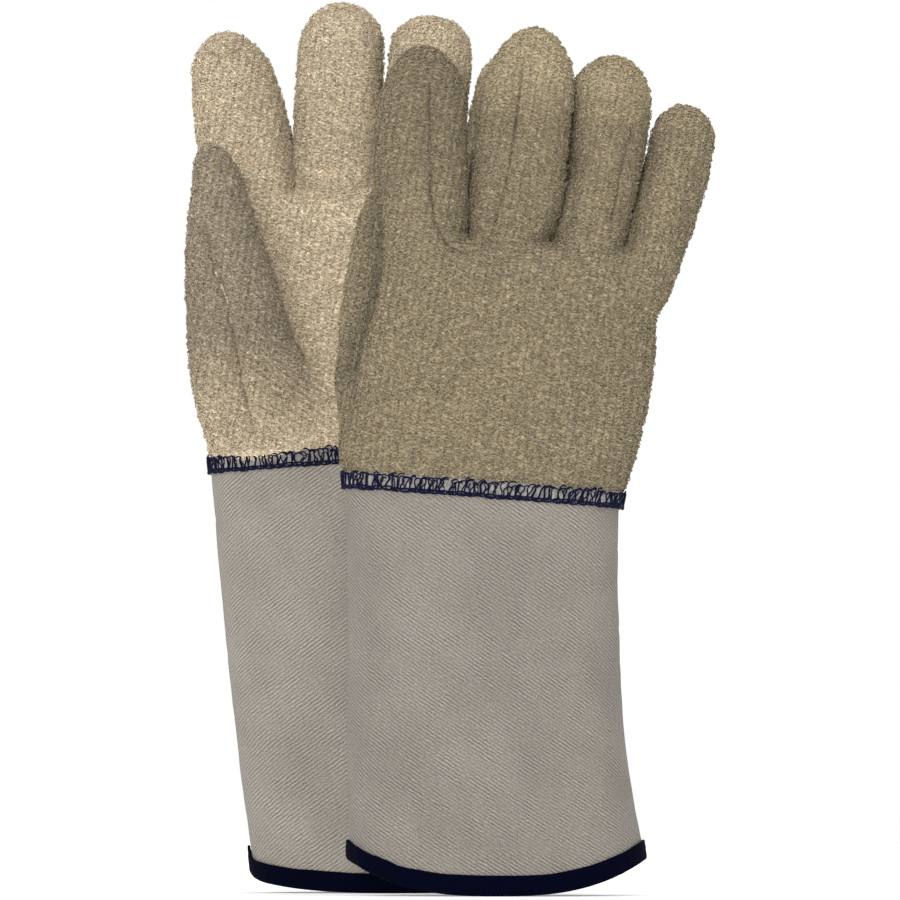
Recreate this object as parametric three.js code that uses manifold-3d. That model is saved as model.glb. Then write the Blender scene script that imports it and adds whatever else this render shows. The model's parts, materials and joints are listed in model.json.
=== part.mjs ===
// A pair of loop-out terry gauntlet gloves, standing on the hems of their cuffs, palm facing palm.
// Millimetres, +Z up. X runs across the hands, Y from the back of the right glove towards the back
// of the left one. The origin is the centre of the pair's box, on the surface that the hems rest on.
//
// Each glove is drawn in a plane of its own, with +y towards its palm and x, z as it stands, and the
// left glove is then mirrored in y. Every cloth piece is a shell between an outer and an inner skin.

import * as THREE from 'three';
import { mergeVertices } from 'three/addons/utils/BufferGeometryUtils.js';
import Module from 'manifold-3d';

const wasm = await Module();
wasm.setup();

// ---------------------------------------------------------------- driving dimensions

const TERRY_WALL = 4.0; // looped cotton terry, both faces of pile
const TWILL_WALL = 1.8; // cotton twill of the cuff
const GLOVE_SPACING = 118; // from the middle plane of one glove to that of the other
const SEAM_GAP = 0.3; // between two pieces that are sewn edge to edge
const SIDE_SEAM_ANGLE = 0.008; // half the side seam's gap, in radians round the section

const BINDING_HEIGHT = 8.5; // the tape folded round the hem
const BINDING_WALL = 1.2; // one layer of that tape
const OVERLOCK_HEIGHT = 7.5; // the stitched band over the joint of cuff and hand
const OVERLOCK_WALL = 1.4;
const HEM_RISE = 14; // how far the hem's side seams stand above its middle
const HEM_FLAT = 0.4; // share of the half width over which the hem lies flat on the surface

const FORK_HALF_DEPTH = 7; // half the width of the strip that is sewn in between two fingers
const FORK_REACH = 12; // how far that strip goes down below the crotch

const FINGER_HINGE_Y = 6; // the fingers bend about a line this far to the palm side
const FINGERTIP_CURL = 7; // a relaxed fingertip leans this far to the palm side
const THUMB_HINGE_SHIFT = 6; // the thumb's hinge line is this far to the side that it swings to
const HINGE_GAP = 1.5; // each side of a hinge line
const HINGE_CLEARANCE = 2; // round the edge that turns inwards

const SMALLEST_STEP = 0.06; // of a cut piece's surface: anything finer is smoothed away
const CUFF_STEPS = 14; // facets round half a cuff or hand
const DIGIT_STEPS = 7; // facets round half a finger or thumb
const PALM_ROUNDNESS = 2.3; // superellipse exponents: 2 is an ellipse, more is squarer
const FINGER_ROUNDNESS = 2.15;

// Sections of the cuff from the hem up, and of the hand from the wrist to the crotches of the
// fingers: share of the height, middle x, half width, half depth.
// A digit: its hinge's x, y and z, its tip's, its half widths at the hinge, at the widest place and
// near the tip, and its half depth.
const RIGHT = {
  side: 'right',
  mirror: 1,
  planeY: -GLOVE_SPACING / 2,
  wrist: { x: 14.2, z: 167.5, slope: -0.075 },
  crotchRise: 107,
  cuff: [
    [0, 19.4, 62.3, 38],
    [0.25, 17.1, 60.4, 36.5],
    [0.5, 13.7, 57.2, 34],
    [0.75, 12.5, 56.2, 31],
    [1, 14.2, 57.6, 28],
  ],
  hand: [
    [0, 14.2, 58.3, 28.7],
    [0.22, 16.9, 61.6, 27.5],
    [0.37, 19.2, 62.9, 26.5],
    [0.54, 23.7, 61.9, 25],
    [0.74, 29.2, 61.4, 23.5],
    [0.93, 33.9, 63.9, 21.5],
    [1, 34.2, 63.2, 20.5],
  ],
  fingers: {
    index: { hinge: [-11.3, 0, 303], tip: [-10.8, 0, 353], widths: [18.2, 19, 14.5], depth: 17 },
    middle: { hinge: [27.9, 0, 306], tip: [35, 0, 362], widths: [18.4, 19.5, 15], depth: 17.5 },
    ring: { hinge: [63.8, 0, 304], tip: [71, 0, 350.5], widths: [16.6, 17, 13.5], depth: 16.5 },
    little: { hinge: [93.5, 0, 297], tip: [102, 0, 330.5], widths: [12.4, 13, 10.5], depth: 14 },
  },
  thumb: { hinge: [-25.5, 38, 226], tip: [-22.5, 41, 299.5], widths: [20, 20, 11], depth: 14 },
  thumbRoot: [-14, 2, 190],
};

const LEFT = {
  side: 'left',
  mirror: -1,
  planeY: GLOVE_SPACING / 2,
  wrist: { x: -43.6, z: 184.6, slope: 0.068 },
  crotchRise: 116,
  cuff: [
    [0, -23.4, 63, 38],
    [0.25, -28, 61, 36.5],
    [0.5, -35.4, 58.6, 34],
    [0.75, -40.4, 57.6, 31],
    [1, -43.6, 58.4, 28],
  ],
  hand: [
    [0, -43.6, 59, 28.7],
    [0.22, -42.6, 61.8, 27.5],
    [0.43, -41.2, 63.6, 26.5],
    [0.65, -39.6, 65, 25],
    [0.86, -38, 66, 22.5],
    [1, -36.9, 66.7, 20.5],
  ],
  fingers: {
    index: { hinge: [-86.6, 0, 317], tip: [-93, 0, 365], widths: [18.8, 18.5, 13.5], depth: 17 },
    middle: { hinge: [-47.7, 0, 320], tip: [-46.9, 0, 377], widths: [18, 19, 14.5], depth: 17.5 },
    ring: { hinge: [-11.8, 0, 317], tip: [-7.6, 0, 371], widths: [16.5, 17.5, 13.5], depth: 16.5 },
    little: { hinge: [18.4, 0, 309], tip: [26.5, 0, 355.5], widths: [12.4, 13, 10.5], depth: 14 },
  },
  thumb: { hinge: [-91, 38, 236], tip: [-104, 41, 314.5], widths: [20, 19.5, 10], depth: 14 },
  thumbRoot: [-78, 2, 202],
};

const MATERIALS = {
  terry: cloth('#b7a886', 0.97),
  twill: cloth('#b3aca2', 0.9),
  binding: cloth('#070b20', 0.85),
  thread: cloth('#1b2546', 0.8),
};

// ---------------------------------------------------------------- shapes

function cloth(colour, roughness) {
  return new THREE.MeshStandardMaterial({ color: colour, roughness, metalness: 0 });
}

// A point of a superellipse with half axes a and b, at an angle from +x towards +y.
function superPoint(a, b, exponent, angle) {
  const round = (value) => Math.sign(value) * Math.abs(value) ** (2 / exponent);
  return [a * round(Math.cos(angle)), b * round(Math.sin(angle))];
}

// The row of a table of sections at a share of its height, between the rows above and below it.
function sectionAt(table, share) {
  const after = Math.max(1, table.findIndex((row) => row[0] >= share - 1e-9));
  const [low, high] = [table[after - 1], table[after]];
  const t = THREE.MathUtils.clamp((share - low[0]) / (high[0] - low[0]), 0, 1);
  return low.map((value, i) => value + t * (high[i] - value));
}

function mapPairs(points, x) {
  const last = points.length - 1;
  if (x <= points[0][0]) return points[0][1];
  if (x >= points[last][0]) return points[last][1];
  const after = points.findIndex((point) => point[0] > x);
  const [low, high] = [points[after - 1], points[after]];
  return low[1] + ((x - low[0]) / (high[0] - low[0])) * (high[1] - low[1]);
}

// A closed shell between two skins. Each skin maps (u, v), both from 0 to 1, to a point, and the
// outer skin's normal is on the side of du x dv. A ring is closed in u, a panel is not.
function shell(outer, inner, across, along, isRing) {
  const points = [];
  const columns = isRing ? across : across + 1;
  for (const skin of [outer, inner]) {
    for (let j = 0; j <= along; j++) {
      for (let i = 0; i < columns; i++) points.push(...skin(i / across, j / along));
    }
  }
  const at = (layer, i, j) => layer * columns * (along + 1) + j * columns + (i % columns);
  const triangles = [];
  const quad = (a, b, c, d) => triangles.push(a, b, c, a, c, d);
  for (let i = 0; i < across; i++) {
    for (let j = 0; j < along; j++) {
      quad(at(0, i, j), at(0, i + 1, j), at(0, i + 1, j + 1), at(0, i, j + 1));
      quad(at(1, i, j), at(1, i, j + 1), at(1, i + 1, j + 1), at(1, i + 1, j));
    }
    quad(at(0, i, 0), at(1, i, 0), at(1, i + 1, 0), at(0, i + 1, 0));
    quad(at(0, i, along), at(0, i + 1, along), at(1, i + 1, along), at(1, i, along));
  }
  if (!isRing) {
    for (let j = 0; j < along; j++) {
      quad(at(0, 0, j), at(0, 0, j + 1), at(1, 0, j + 1), at(1, 0, j));
      quad(at(0, across, j), at(1, across, j), at(1, across, j + 1), at(0, across, j + 1));
    }
  }
  return geometryOf(points, triangles);
}

function geometryOf(points, triangles) {
  const geometry = new THREE.BufferGeometry();
  geometry.setAttribute('position', new THREE.Float32BufferAttribute(points, 3));
  geometry.setIndex(triangles);
  geometry.computeVertexNormals();
  return geometry;
}

// The geometry with nothing but its points and triangles, so that shared points can merge.
function bare(geometry) {
  const plain = new THREE.BufferGeometry();
  plain.setAttribute('position', geometry.getAttribute('position'));
  plain.setIndex(geometry.index);
  return mergeVertices(plain, 1e-4);
}

function solidOf(geometry) {
  const merged = bare(geometry);
  return new wasm.Manifold(
    new wasm.Mesh({
      numProp: 3,
      vertProperties: merged.attributes.position.array,
      triVerts: new Uint32Array(merged.index.array),
    }),
  );
}

function geometryFrom(solid) {
  const mesh = solid.simplify(SMALLEST_STEP).getMesh();
  return geometryOf(Array.from(mesh.vertProperties), Array.from(mesh.triVerts));
}

// A closed solid inside a skin that is a ring in u, with a fan of triangles over each end.
function filled(skin, across, along) {
  const points = [];
  const ends = [new THREE.Vector3(), new THREE.Vector3()];
  for (let j = 0; j <= along; j++) {
    for (let i = 0; i < across; i++) {
      const point = skin(i / across, j / along);
      points.push(...point);
      if (j === 0) ends[0].addScaledVector(new THREE.Vector3(...point), 1 / across);
      if (j === along) ends[1].addScaledVector(new THREE.Vector3(...point), 1 / across);
    }
  }
  const first = points.length / 3;
  points.push(...ends[0].toArray(), ...ends[1].toArray());
  const at = (i, j) => j * across + (i % across);
  const triangles = [];
  for (let i = 0; i < across; i++) {
    for (let j = 0; j < along; j++) {
      triangles.push(at(i, j), at(i + 1, j), at(i + 1, j + 1));
      triangles.push(at(i, j), at(i + 1, j + 1), at(i, j + 1));
    }
    triangles.push(first, at(i + 1, 0), at(i, 0));
    triangles.push(first + 1, at(i, along), at(i + 1, along));
  }
  return solidOf(geometryOf(points, triangles));
}

// A tube through rings of { centre, along, wide, deep }: wide is measured in the x-z plane, square
// to the direction along, and deep in y. grow moves its skin outwards.
function tube(rings, grow) {
  const last = rings.length - 1;
  const skin = (u, v) => ringPoint(rings[Math.round(v * last)], 2 * Math.PI * u, grow);
  return filled(skin, 2 * DIGIT_STEPS, last);
}

function ringPoint(ring, angle, grow) {
  const [across, deep] = superPoint(ring.wide + grow, ring.deep + grow, FINGER_ROUNDNESS, angle);
  const [x, y, z] = ring.centre;
  return [x + across * ring.along[1], y + deep, z - across * ring.along[0]];
}

// ---------------------------------------------------------------- the cuff

function wristHeight(glove, x) {
  return glove.wrist.z + glove.wrist.slope * (x - glove.wrist.x);
}

// How far the hem's edge stands off the surface, for the cosine of the angle round the section.
function hemHeight(cosine) {
  return HEM_RISE * Math.max(0, (Math.abs(cosine) - HEM_FLAT) / (1 - HEM_FLAT)) ** 1.6;
}

// A point of the cuff's skin: angle round it, share of its height, how far inside the outer skin.
// Lift is added to the height at the hem and taken off at the wrist.
function cuffPoint(glove, angle, share, inset, lift) {
  const [, middle, wide, deep] = sectionAt(glove.cuff, share);
  const [x, y] = superPoint(wide - inset, deep - inset, PALM_ROUNDNESS, angle);
  const low = hemHeight(Math.cos(angle)) + lift;
  const high = wristHeight(glove, middle + x) - SEAM_GAP;
  return [middle + x, y, low + share * (high - low)];
}

// The angle at a share of the way round the palm's half or the back's, stopping short of its seams.
function halfTurn(isPalm, share) {
  const start = isPalm ? 0 : Math.PI;
  const angle = Math.PI * share;
  return start + THREE.MathUtils.clamp(angle, SIDE_SEAM_ANGLE, Math.PI - SIDE_SEAM_ANGLE);
}

function cuffPanel(glove, isPalm) {
  const skin = (inset) => (u, v) =>
    cuffPoint(glove, halfTurn(isPalm, u), v, inset, BINDING_WALL + SEAM_GAP);
  const inset = BINDING_WALL + SEAM_GAP;
  return shell(skin(inset), skin(inset + TWILL_WALL), CUFF_STEPS, 4, false);
}

// The tape's section is a U round the cuff's lower edge: outside, under and inside.
function hemBinding(glove) {
  const foldDepth = 2 * (BINDING_WALL + SEAM_GAP) + TWILL_WALL;
  const share = BINDING_HEIGHT / glove.wrist.z;
  const at = (angle, inset, rise) => {
    const [, middle, wide, deep] = sectionAt(glove.cuff, (rise / BINDING_HEIGHT) * share);
    const [x, y] = superPoint(wide - inset, deep - inset, PALM_ROUNDNESS, angle);
    return [middle + x, y, hemHeight(Math.cos(angle)) + rise];
  };
  const outside = [[0, BINDING_HEIGHT], [0, 0], [foldDepth, 0], [foldDepth, BINDING_HEIGHT]];
  const inside = [
    [BINDING_WALL, BINDING_HEIGHT],
    [BINDING_WALL, BINDING_WALL],
    [foldDepth - BINDING_WALL, BINDING_WALL],
    [foldDepth - BINDING_WALL, BINDING_HEIGHT],
  ];
  const skin = (path) => (u, v) => at(-2 * Math.PI * u, ...path[Math.round(v * 3)]);
  return shell(skin(outside), skin(inside), 2 * CUFF_STEPS, 3, true);
}

// The overlocked band lies over the joint of cuff and hand.
function overlockBand(glove) {
  const skin = (grow) => (u, v) => {
    const angle = 2 * Math.PI * u;
    const [, middle, wide, deep] = sectionAt(glove.hand, 0);
    const [x, y] = superPoint(wide + grow, deep + grow, PALM_ROUNDNESS, angle);
    return [middle + x, y, wristHeight(glove, middle + x) + (v - 0.5) * OVERLOCK_HEIGHT];
  };
  return shell(skin(SEAM_GAP + 1 + OVERLOCK_WALL), skin(SEAM_GAP + 1), 2 * CUFF_STEPS, 1, true);
}

// ---------------------------------------------------------------- the hand

// A point of the hand's skin: angle round it, share of the height from the wrist to the crotches.
function handPoint(glove, angle, share, inset) {
  const [, middle, wide, deep] = sectionAt(glove.hand, share);
  const [x, y] = superPoint(wide - inset, deep - inset, PALM_ROUNDNESS, angle);
  const z = wristHeight(glove, middle + x) + SEAM_GAP + share * glove.crotchRise;
  return [middle + x, y, z];
}

// The inside of the hand's skin, or of a skin inset from it. It starts this far below the wrist.
function handBlock(glove, inset, below) {
  const start = -below / glove.crotchRise;
  const end = 1 - inset / glove.crotchRise;
  const skin = (u, v) => handPoint(glove, 2 * Math.PI * u, start + v * (end - start), inset);
  return filled(skin, 2 * CUFF_STEPS, 6);
}

// The same for the hand and the roots of its fingers, up to this far past their hinges.
function handSolid(glove, inset, below, past) {
  const roots = Object.values(glove.fingers).map((finger) => fingerRoot(finger, inset, past));
  return wasm.Manifold.union([handBlock(glove, inset, below), ...roots]);
}

function directionOf(digit) {
  return new THREE.Vector3(...digit.tip).sub(new THREE.Vector3(...digit.hinge)).normalize();
}

// The root of a finger, from well inside the hand to past its hinge.
function fingerRoot(finger, inset, past) {
  const along = directionOf(finger);
  const ringAt = (distance, widen) => ({
    centre: new THREE.Vector3(...finger.hinge).addScaledVector(along, distance).toArray(),
    along: [along.x, along.z],
    wide: finger.widths[0] + widen,
    deep: finger.depth + widen / 2,
  });
  return tube([ringAt(-55, -3), ringAt(-30, 0.4), ringAt(-8, 0.2), ringAt(past, 0)], -inset);
}

// What a finger's hinge takes off its root: everything above the hinge line, and more on the palm's
// side, where the finger's edge turns in when it bends.
function hingeCut(finger) {
  const lean = Math.atan2(directionOf(finger).x, directionOf(finger).z);
  const notch = finger.depth - FINGER_HINGE_Y + HINGE_CLEARANCE;
  const [wide, tall] = [2 * finger.widths[1] + 3, 60];
  const above = new THREE.BoxGeometry(wide, 2 * tall, tall);
  above.translate(0, 0, tall / 2 - HINGE_GAP);
  const inPalm = new THREE.BoxGeometry(wide, tall, tall);
  inPalm.translate(0, FINGER_HINGE_Y + tall / 2, tall / 2 - notch);
  return wasm.Manifold.union([solidOf(above), solidOf(inPalm)])
    .rotate([0, (lean * 180) / Math.PI, 0])
    .translate(finger.hinge);
}

// A strip from one finger's middle line to the next one's, round the crotch between them.
function forkCut(glove, lowFinger, highFinger, grow) {
  const [low, high] = [glove.fingers[lowFinger], glove.fingers[highFinger]];
  const crotchX = (low.hinge[0] + low.widths[0] + high.hinge[0] - high.widths[0]) / 2;
  const bottom = wristHeight(glove, crotchX) + glove.crotchRise - FORK_REACH;
  const up = (finger, z) => {
    const along = directionOf(finger);
    return finger.hinge[0] + ((z - finger.hinge[2]) * along.x) / along.z;
  };
  const top = bottom + 80;
  const inward = 0.35;
  const shape = new THREE.Shape();
  shape.moveTo(crotchX - 7 - grow, bottom - grow);
  shape.lineTo(crotchX + 7 + grow, bottom - grow);
  shape.lineTo(up(high, bottom + 16) - inward * high.widths[0] + grow, bottom + 16);
  shape.lineTo(up(high, top) - inward * high.widths[0] + grow, top);
  shape.lineTo(up(low, top) + inward * low.widths[0] - grow, top);
  shape.lineTo(up(low, bottom + 16) + inward * low.widths[0] - grow, bottom + 16);
  shape.closePath();
  const depth = 2 * (FORK_HALF_DEPTH + grow);
  const block = new THREE.ExtrudeGeometry(shape, { depth, bevelEnabled: false });
  block.rotateX(Math.PI / 2);
  block.translate(0, depth / 2, 0);
  return solidOf(block);
}

const FORKS = [['index', 'middle'], ['middle', 'ring'], ['ring', 'little']];

// The hand's cloth as one solid, before it is cut up into panels.
function handShell(glove) {
  const outer = handSolid(glove, 0, 0, 3);
  const inner = handSolid(glove, TERRY_WALL, 5, 6);
  return wasm.Manifold.difference([outer, inner, ...Object.values(glove.fingers).map(hingeCut)]);
}

// The half of space on the palm's side of the side seams, or on the back's.
function halfSpace(isPalm) {
  const size = 600;
  const box = new THREE.BoxGeometry(size, size, size);
  box.translate(0, (isPalm ? 1 : -1) * (size / 2 + SEAM_GAP / 2), size / 2);
  return solidOf(box);
}

function handPanel(glove, cloth, isPalm) {
  const forks = FORKS.map(([low, high]) => forkCut(glove, low, high, SEAM_GAP));
  return wasm.Manifold.difference([cloth.intersect(halfSpace(isPalm)), ...forks]);
}

// ---------------------------------------------------------------- fingers and thumb

// How wide a finger is at a share of its length, as a share of the nearest stated width.
function fingerHalfWidth([atHinge, widest, nearTip], share) {
  const middle = (widest + nearTip) / 2;
  const body = mapPairs([[0, atHinge], [0.35, widest], [0.7, middle], [1, nearTip]], share);
  const domeStart = 0.62;
  const dome = Math.max(0, (share - domeStart) / (1 - domeStart));
  return body * Math.sqrt(Math.max(0, 1 - dome ** 2.6));
}

// The skin of a finger or thumb, from its hinge to its tip, as a function of angle and share.
function digitPoint(digit, curl, angle, share, inset) {
  const along = directionOf(digit);
  const hinge = new THREE.Vector3(...digit.hinge);
  const length = hinge.distanceTo(new THREE.Vector3(...digit.tip)) - inset;
  const start = HINGE_GAP / length;
  const t = start + share * (1 - start);
  const wide = fingerHalfWidth(digit.widths, t);
  const deep = (wide * digit.depth) / digit.widths[0];
  const centre = hinge.addScaledVector(along, t * length);
  const flat = new THREE.Vector2(along.x, along.z).normalize();
  const ring = {
    centre: [centre.x, centre.y + curl * t * t, centre.z],
    along: [flat.x, flat.y],
    wide: Math.max(0.4, wide - inset),
    deep: Math.max(0.4, deep - inset),
  };
  return ringPoint(ring, angle, 0);
}

function digitHalf(digit, curl, isPalm) {
  const eased = (v) => Math.sin((v * Math.PI) / 2) ** 0.9;
  const skin = (inset) => (u, v) => digitPoint(digit, curl, halfTurn(isPalm, u), eased(v), inset);
  return shell(skin(0), skin(TERRY_WALL), DIGIT_STEPS, 6, false);
}

// The thumb's base: a short sleeve from a hole in the palm up to the thumb's hinge.
function thumbRings(glove) {
  const root = new THREE.Vector3(...glove.thumbRoot);
  const hinge = new THREE.Vector3(...glove.thumb.hinge);
  const along = directionOf(glove.thumb);
  const bend = hinge.clone().addScaledVector(along, -16);
  const path = new THREE.CatmullRomCurve3([root, bend, hinge.clone().addScaledVector(along, 3)]);
  const [wide] = glove.thumb.widths;
  return [0, 0.35, 0.7, 1].map((share) => {
    const centre = path.getPoint(share);
    const tangent = path.getTangent(share);
    const flat = new THREE.Vector2(tangent.x, tangent.z).normalize();
    return {
      centre: centre.toArray(),
      along: [flat.x, flat.y],
      wide: wide + 2 * (1 - share),
      deep: glove.thumb.depth + 1.5 * (1 - share),
    };
  });
}

// The same rings, with the first and last moved a little past the ends.
function extended(rings) {
  const past = 2;
  const moved = (ring, sign) => {
    const [x, y, z] = ring.centre;
    return { ...ring, centre: [x + sign * past * ring.along[0], y, z + sign * past * ring.along[1]] };
  };
  const last = rings.length - 1;
  return rings.map((ring, i) => {
    if (i === 0) return moved(ring, -1);
    return i === last ? moved(ring, 1) : ring;
  });
}

function thumbBase(glove) {
  const rings = thumbRings(glove);
  const radius = glove.thumb.widths[0] - THUMB_HINGE_SHIFT + HINGE_CLEARANCE;
  const cylinder = new THREE.CylinderGeometry(radius, radius, 80, 20);
  cylinder.translate(-THUMB_HINGE_SHIFT, 0, 0);
  const above = new THREE.BoxGeometry(80, 80, 40);
  above.translate(0, 0, 20 - HINGE_GAP);
  const along = directionOf(glove.thumb);
  const hingeSpace = wasm.Manifold.union([solidOf(cylinder), solidOf(above)])
    .rotate([0, (Math.atan2(along.x, along.z) * 180) / Math.PI, 0])
    .translate(glove.thumb.hinge);
  return tube(rings, 0)
    .subtract(tube(extended(rings), -TERRY_WALL))
    .subtract(handBlock(glove, -SEAM_GAP, 0))
    .subtract(hingeSpace);
}

// ---------------------------------------------------------------- assembly

function gloveGroup(glove) {
  const group = new THREE.Group();
  const add = (name, geometry, material) => {
    const mesh = new THREE.Mesh(geometry, material);
    mesh.name = `${glove.side}_${name}`;
    group.add(mesh);
  };
  add('cuff_back_panel', cuffPanel(glove, false), MATERIALS.twill);
  add('cuff_palm_panel', cuffPanel(glove, true), MATERIALS.twill);
  add('hem_binding', hemBinding(glove), MATERIALS.binding);
  add('wrist_overlock', overlockBand(glove), MATERIALS.thread);

  const cloth = handShell(glove);
  const thumbHole = tube(extended(thumbRings(glove)), -TERRY_WALL);
  const palm = handPanel(glove, cloth, true).subtract(thumbHole);
  add('back_panel', geometryFrom(handPanel(glove, cloth, false)), MATERIALS.terry);
  add('palm_panel', geometryFrom(palm), MATERIALS.terry);
  add('thumb_base', geometryFrom(thumbBase(glove)), MATERIALS.terry);
  for (const [low, high] of FORKS) {
    const strip = cloth.intersect(forkCut(glove, low, high, 0));
    add(`fork_${low}_${high}`, geometryFrom(strip), MATERIALS.terry);
  }
  for (const [name, finger] of Object.entries(glove.fingers)) {
    add(`${name}_back`, digitHalf(finger, FINGERTIP_CURL, false), MATERIALS.terry);
    add(`${name}_palm`, digitHalf(finger, FINGERTIP_CURL, true), MATERIALS.terry);
  }
  add('thumb_back', digitHalf(glove.thumb, 0, false), MATERIALS.terry);
  add('thumb_palm', digitHalf(glove.thumb, 0, true), MATERIALS.terry);
  group.scale.y = glove.mirror;
  group.position.y = glove.planeY;
  return group;
}

const pair = new THREE.Group();
pair.add(gloveGroup(LEFT), gloveGroup(RIGHT));
const box = new THREE.Box3().setFromObject(pair);
const centre = box.getCenter(new THREE.Vector3());
pair.position.set(-centre.x, -centre.y, -box.min.z);

export default pair;
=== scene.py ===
"""A pair of loop-out terry gauntlet gloves, standing on the hems of their cuffs.

Shapes are worked out in millimetres in a plane frame of each glove's own: x and z as in the row frame,
and y from the glove's middle plane towards its palm. place() turns that into the row frame, in metres.
"""

import json
import math

import bpy
import numpy as np
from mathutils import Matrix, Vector


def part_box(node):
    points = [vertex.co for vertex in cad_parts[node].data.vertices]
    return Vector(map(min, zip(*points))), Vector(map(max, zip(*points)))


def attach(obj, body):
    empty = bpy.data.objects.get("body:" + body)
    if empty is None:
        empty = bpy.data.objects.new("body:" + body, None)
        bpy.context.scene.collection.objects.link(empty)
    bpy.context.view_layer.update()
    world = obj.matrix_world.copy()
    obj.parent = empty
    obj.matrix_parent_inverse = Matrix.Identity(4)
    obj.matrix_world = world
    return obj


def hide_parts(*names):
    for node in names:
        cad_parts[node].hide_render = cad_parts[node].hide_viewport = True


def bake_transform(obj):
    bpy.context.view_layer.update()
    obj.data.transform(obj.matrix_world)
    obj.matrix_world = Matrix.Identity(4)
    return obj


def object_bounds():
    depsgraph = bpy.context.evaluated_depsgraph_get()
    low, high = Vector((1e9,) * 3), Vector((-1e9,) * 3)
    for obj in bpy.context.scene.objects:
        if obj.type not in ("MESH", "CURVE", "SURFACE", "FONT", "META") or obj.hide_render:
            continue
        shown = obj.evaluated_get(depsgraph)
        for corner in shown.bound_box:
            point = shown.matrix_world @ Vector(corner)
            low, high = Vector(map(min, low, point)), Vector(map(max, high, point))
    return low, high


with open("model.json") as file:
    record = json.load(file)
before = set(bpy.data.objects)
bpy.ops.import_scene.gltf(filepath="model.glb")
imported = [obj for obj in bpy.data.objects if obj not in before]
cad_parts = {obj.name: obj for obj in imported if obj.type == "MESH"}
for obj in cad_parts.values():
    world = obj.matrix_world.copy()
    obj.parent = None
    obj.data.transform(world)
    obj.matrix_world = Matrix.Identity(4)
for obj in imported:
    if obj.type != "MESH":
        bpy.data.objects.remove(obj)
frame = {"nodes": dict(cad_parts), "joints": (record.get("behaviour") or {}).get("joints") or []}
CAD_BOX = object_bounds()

MM = 0.001
TERRY_STEP = 0.7  # spacing of the terry's mesh
LINING_STEP = 2.4  # and of its inside
TERRY_WALL = 4.0
TERRY_ROOM = 7  # round the CAD's terry, in which the meshed one may lie
TERRY_ROOM_BELOW = 2
TERRY_START = 0.3  # over the middle of the wrist seam
TWILL_WALL = 1.8

# ------------------------------------------------------------------ what the frame says

JOINTS = {joint["name"]: joint for joint in frame["joints"]}
FINGERS = ("index", "middle", "ring", "little")
MIRROR = {"right": 1.0, "left": -1.0}  # which way along +Y each glove's palm faces
THUMB_HINGE_SHIFT = 6.0  # the thumb's joint lies this far to the -x side of the thumb's middle
THUMB_TIP_X = {"right": -21.5, "left": -102.0}


def centre_plane(side):
    """The y of a glove's middle plane, in millimetres."""
    low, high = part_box(f"{side}_wrist_overlock")
    return (low.y + high.y) / 2 / MM


PLANE = {side: centre_plane(side) for side in MIRROR}


def place(side, points):
    """Points of a glove's own frame, in millimetres, as row frame points in metres."""
    points = np.asarray(points, np.float64)
    moved = points.copy()
    moved[:, 1] = PLANE[side] + MIRROR[side] * points[:, 1]
    return moved * MM


def digit_line(side, name):
    """Hinge point, direction and length of a digit, from its joint and its CAD sleeve."""
    joint = JOINTS[f"{side}_{name}_swing" if name == "thumb" else f"{side}_{name}_bend"]
    x, y, z = (value / MM for value in joint["pos_m"])
    y = (y - PLANE[side]) * MIRROR[side]
    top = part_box(f"{side}_{name}_back")[1].z / MM
    if name == "thumb":
        hinge = np.array([x + THUMB_HINGE_SHIFT, y, z])
        direction = np.array([THUMB_TIP_X[side] - hinge[0], 0.0, top - z])
    else:
        ax, _, az = joint["axis"]
        hinge = np.array([x, 0.0, z])
        direction = np.array([az, 0.0, -ax]) * MIRROR[side]
    direction /= np.linalg.norm(direction)
    return hinge, direction, (top - z) / direction[2]


# ------------------------------------------------------------------ the shape of the terry

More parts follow.
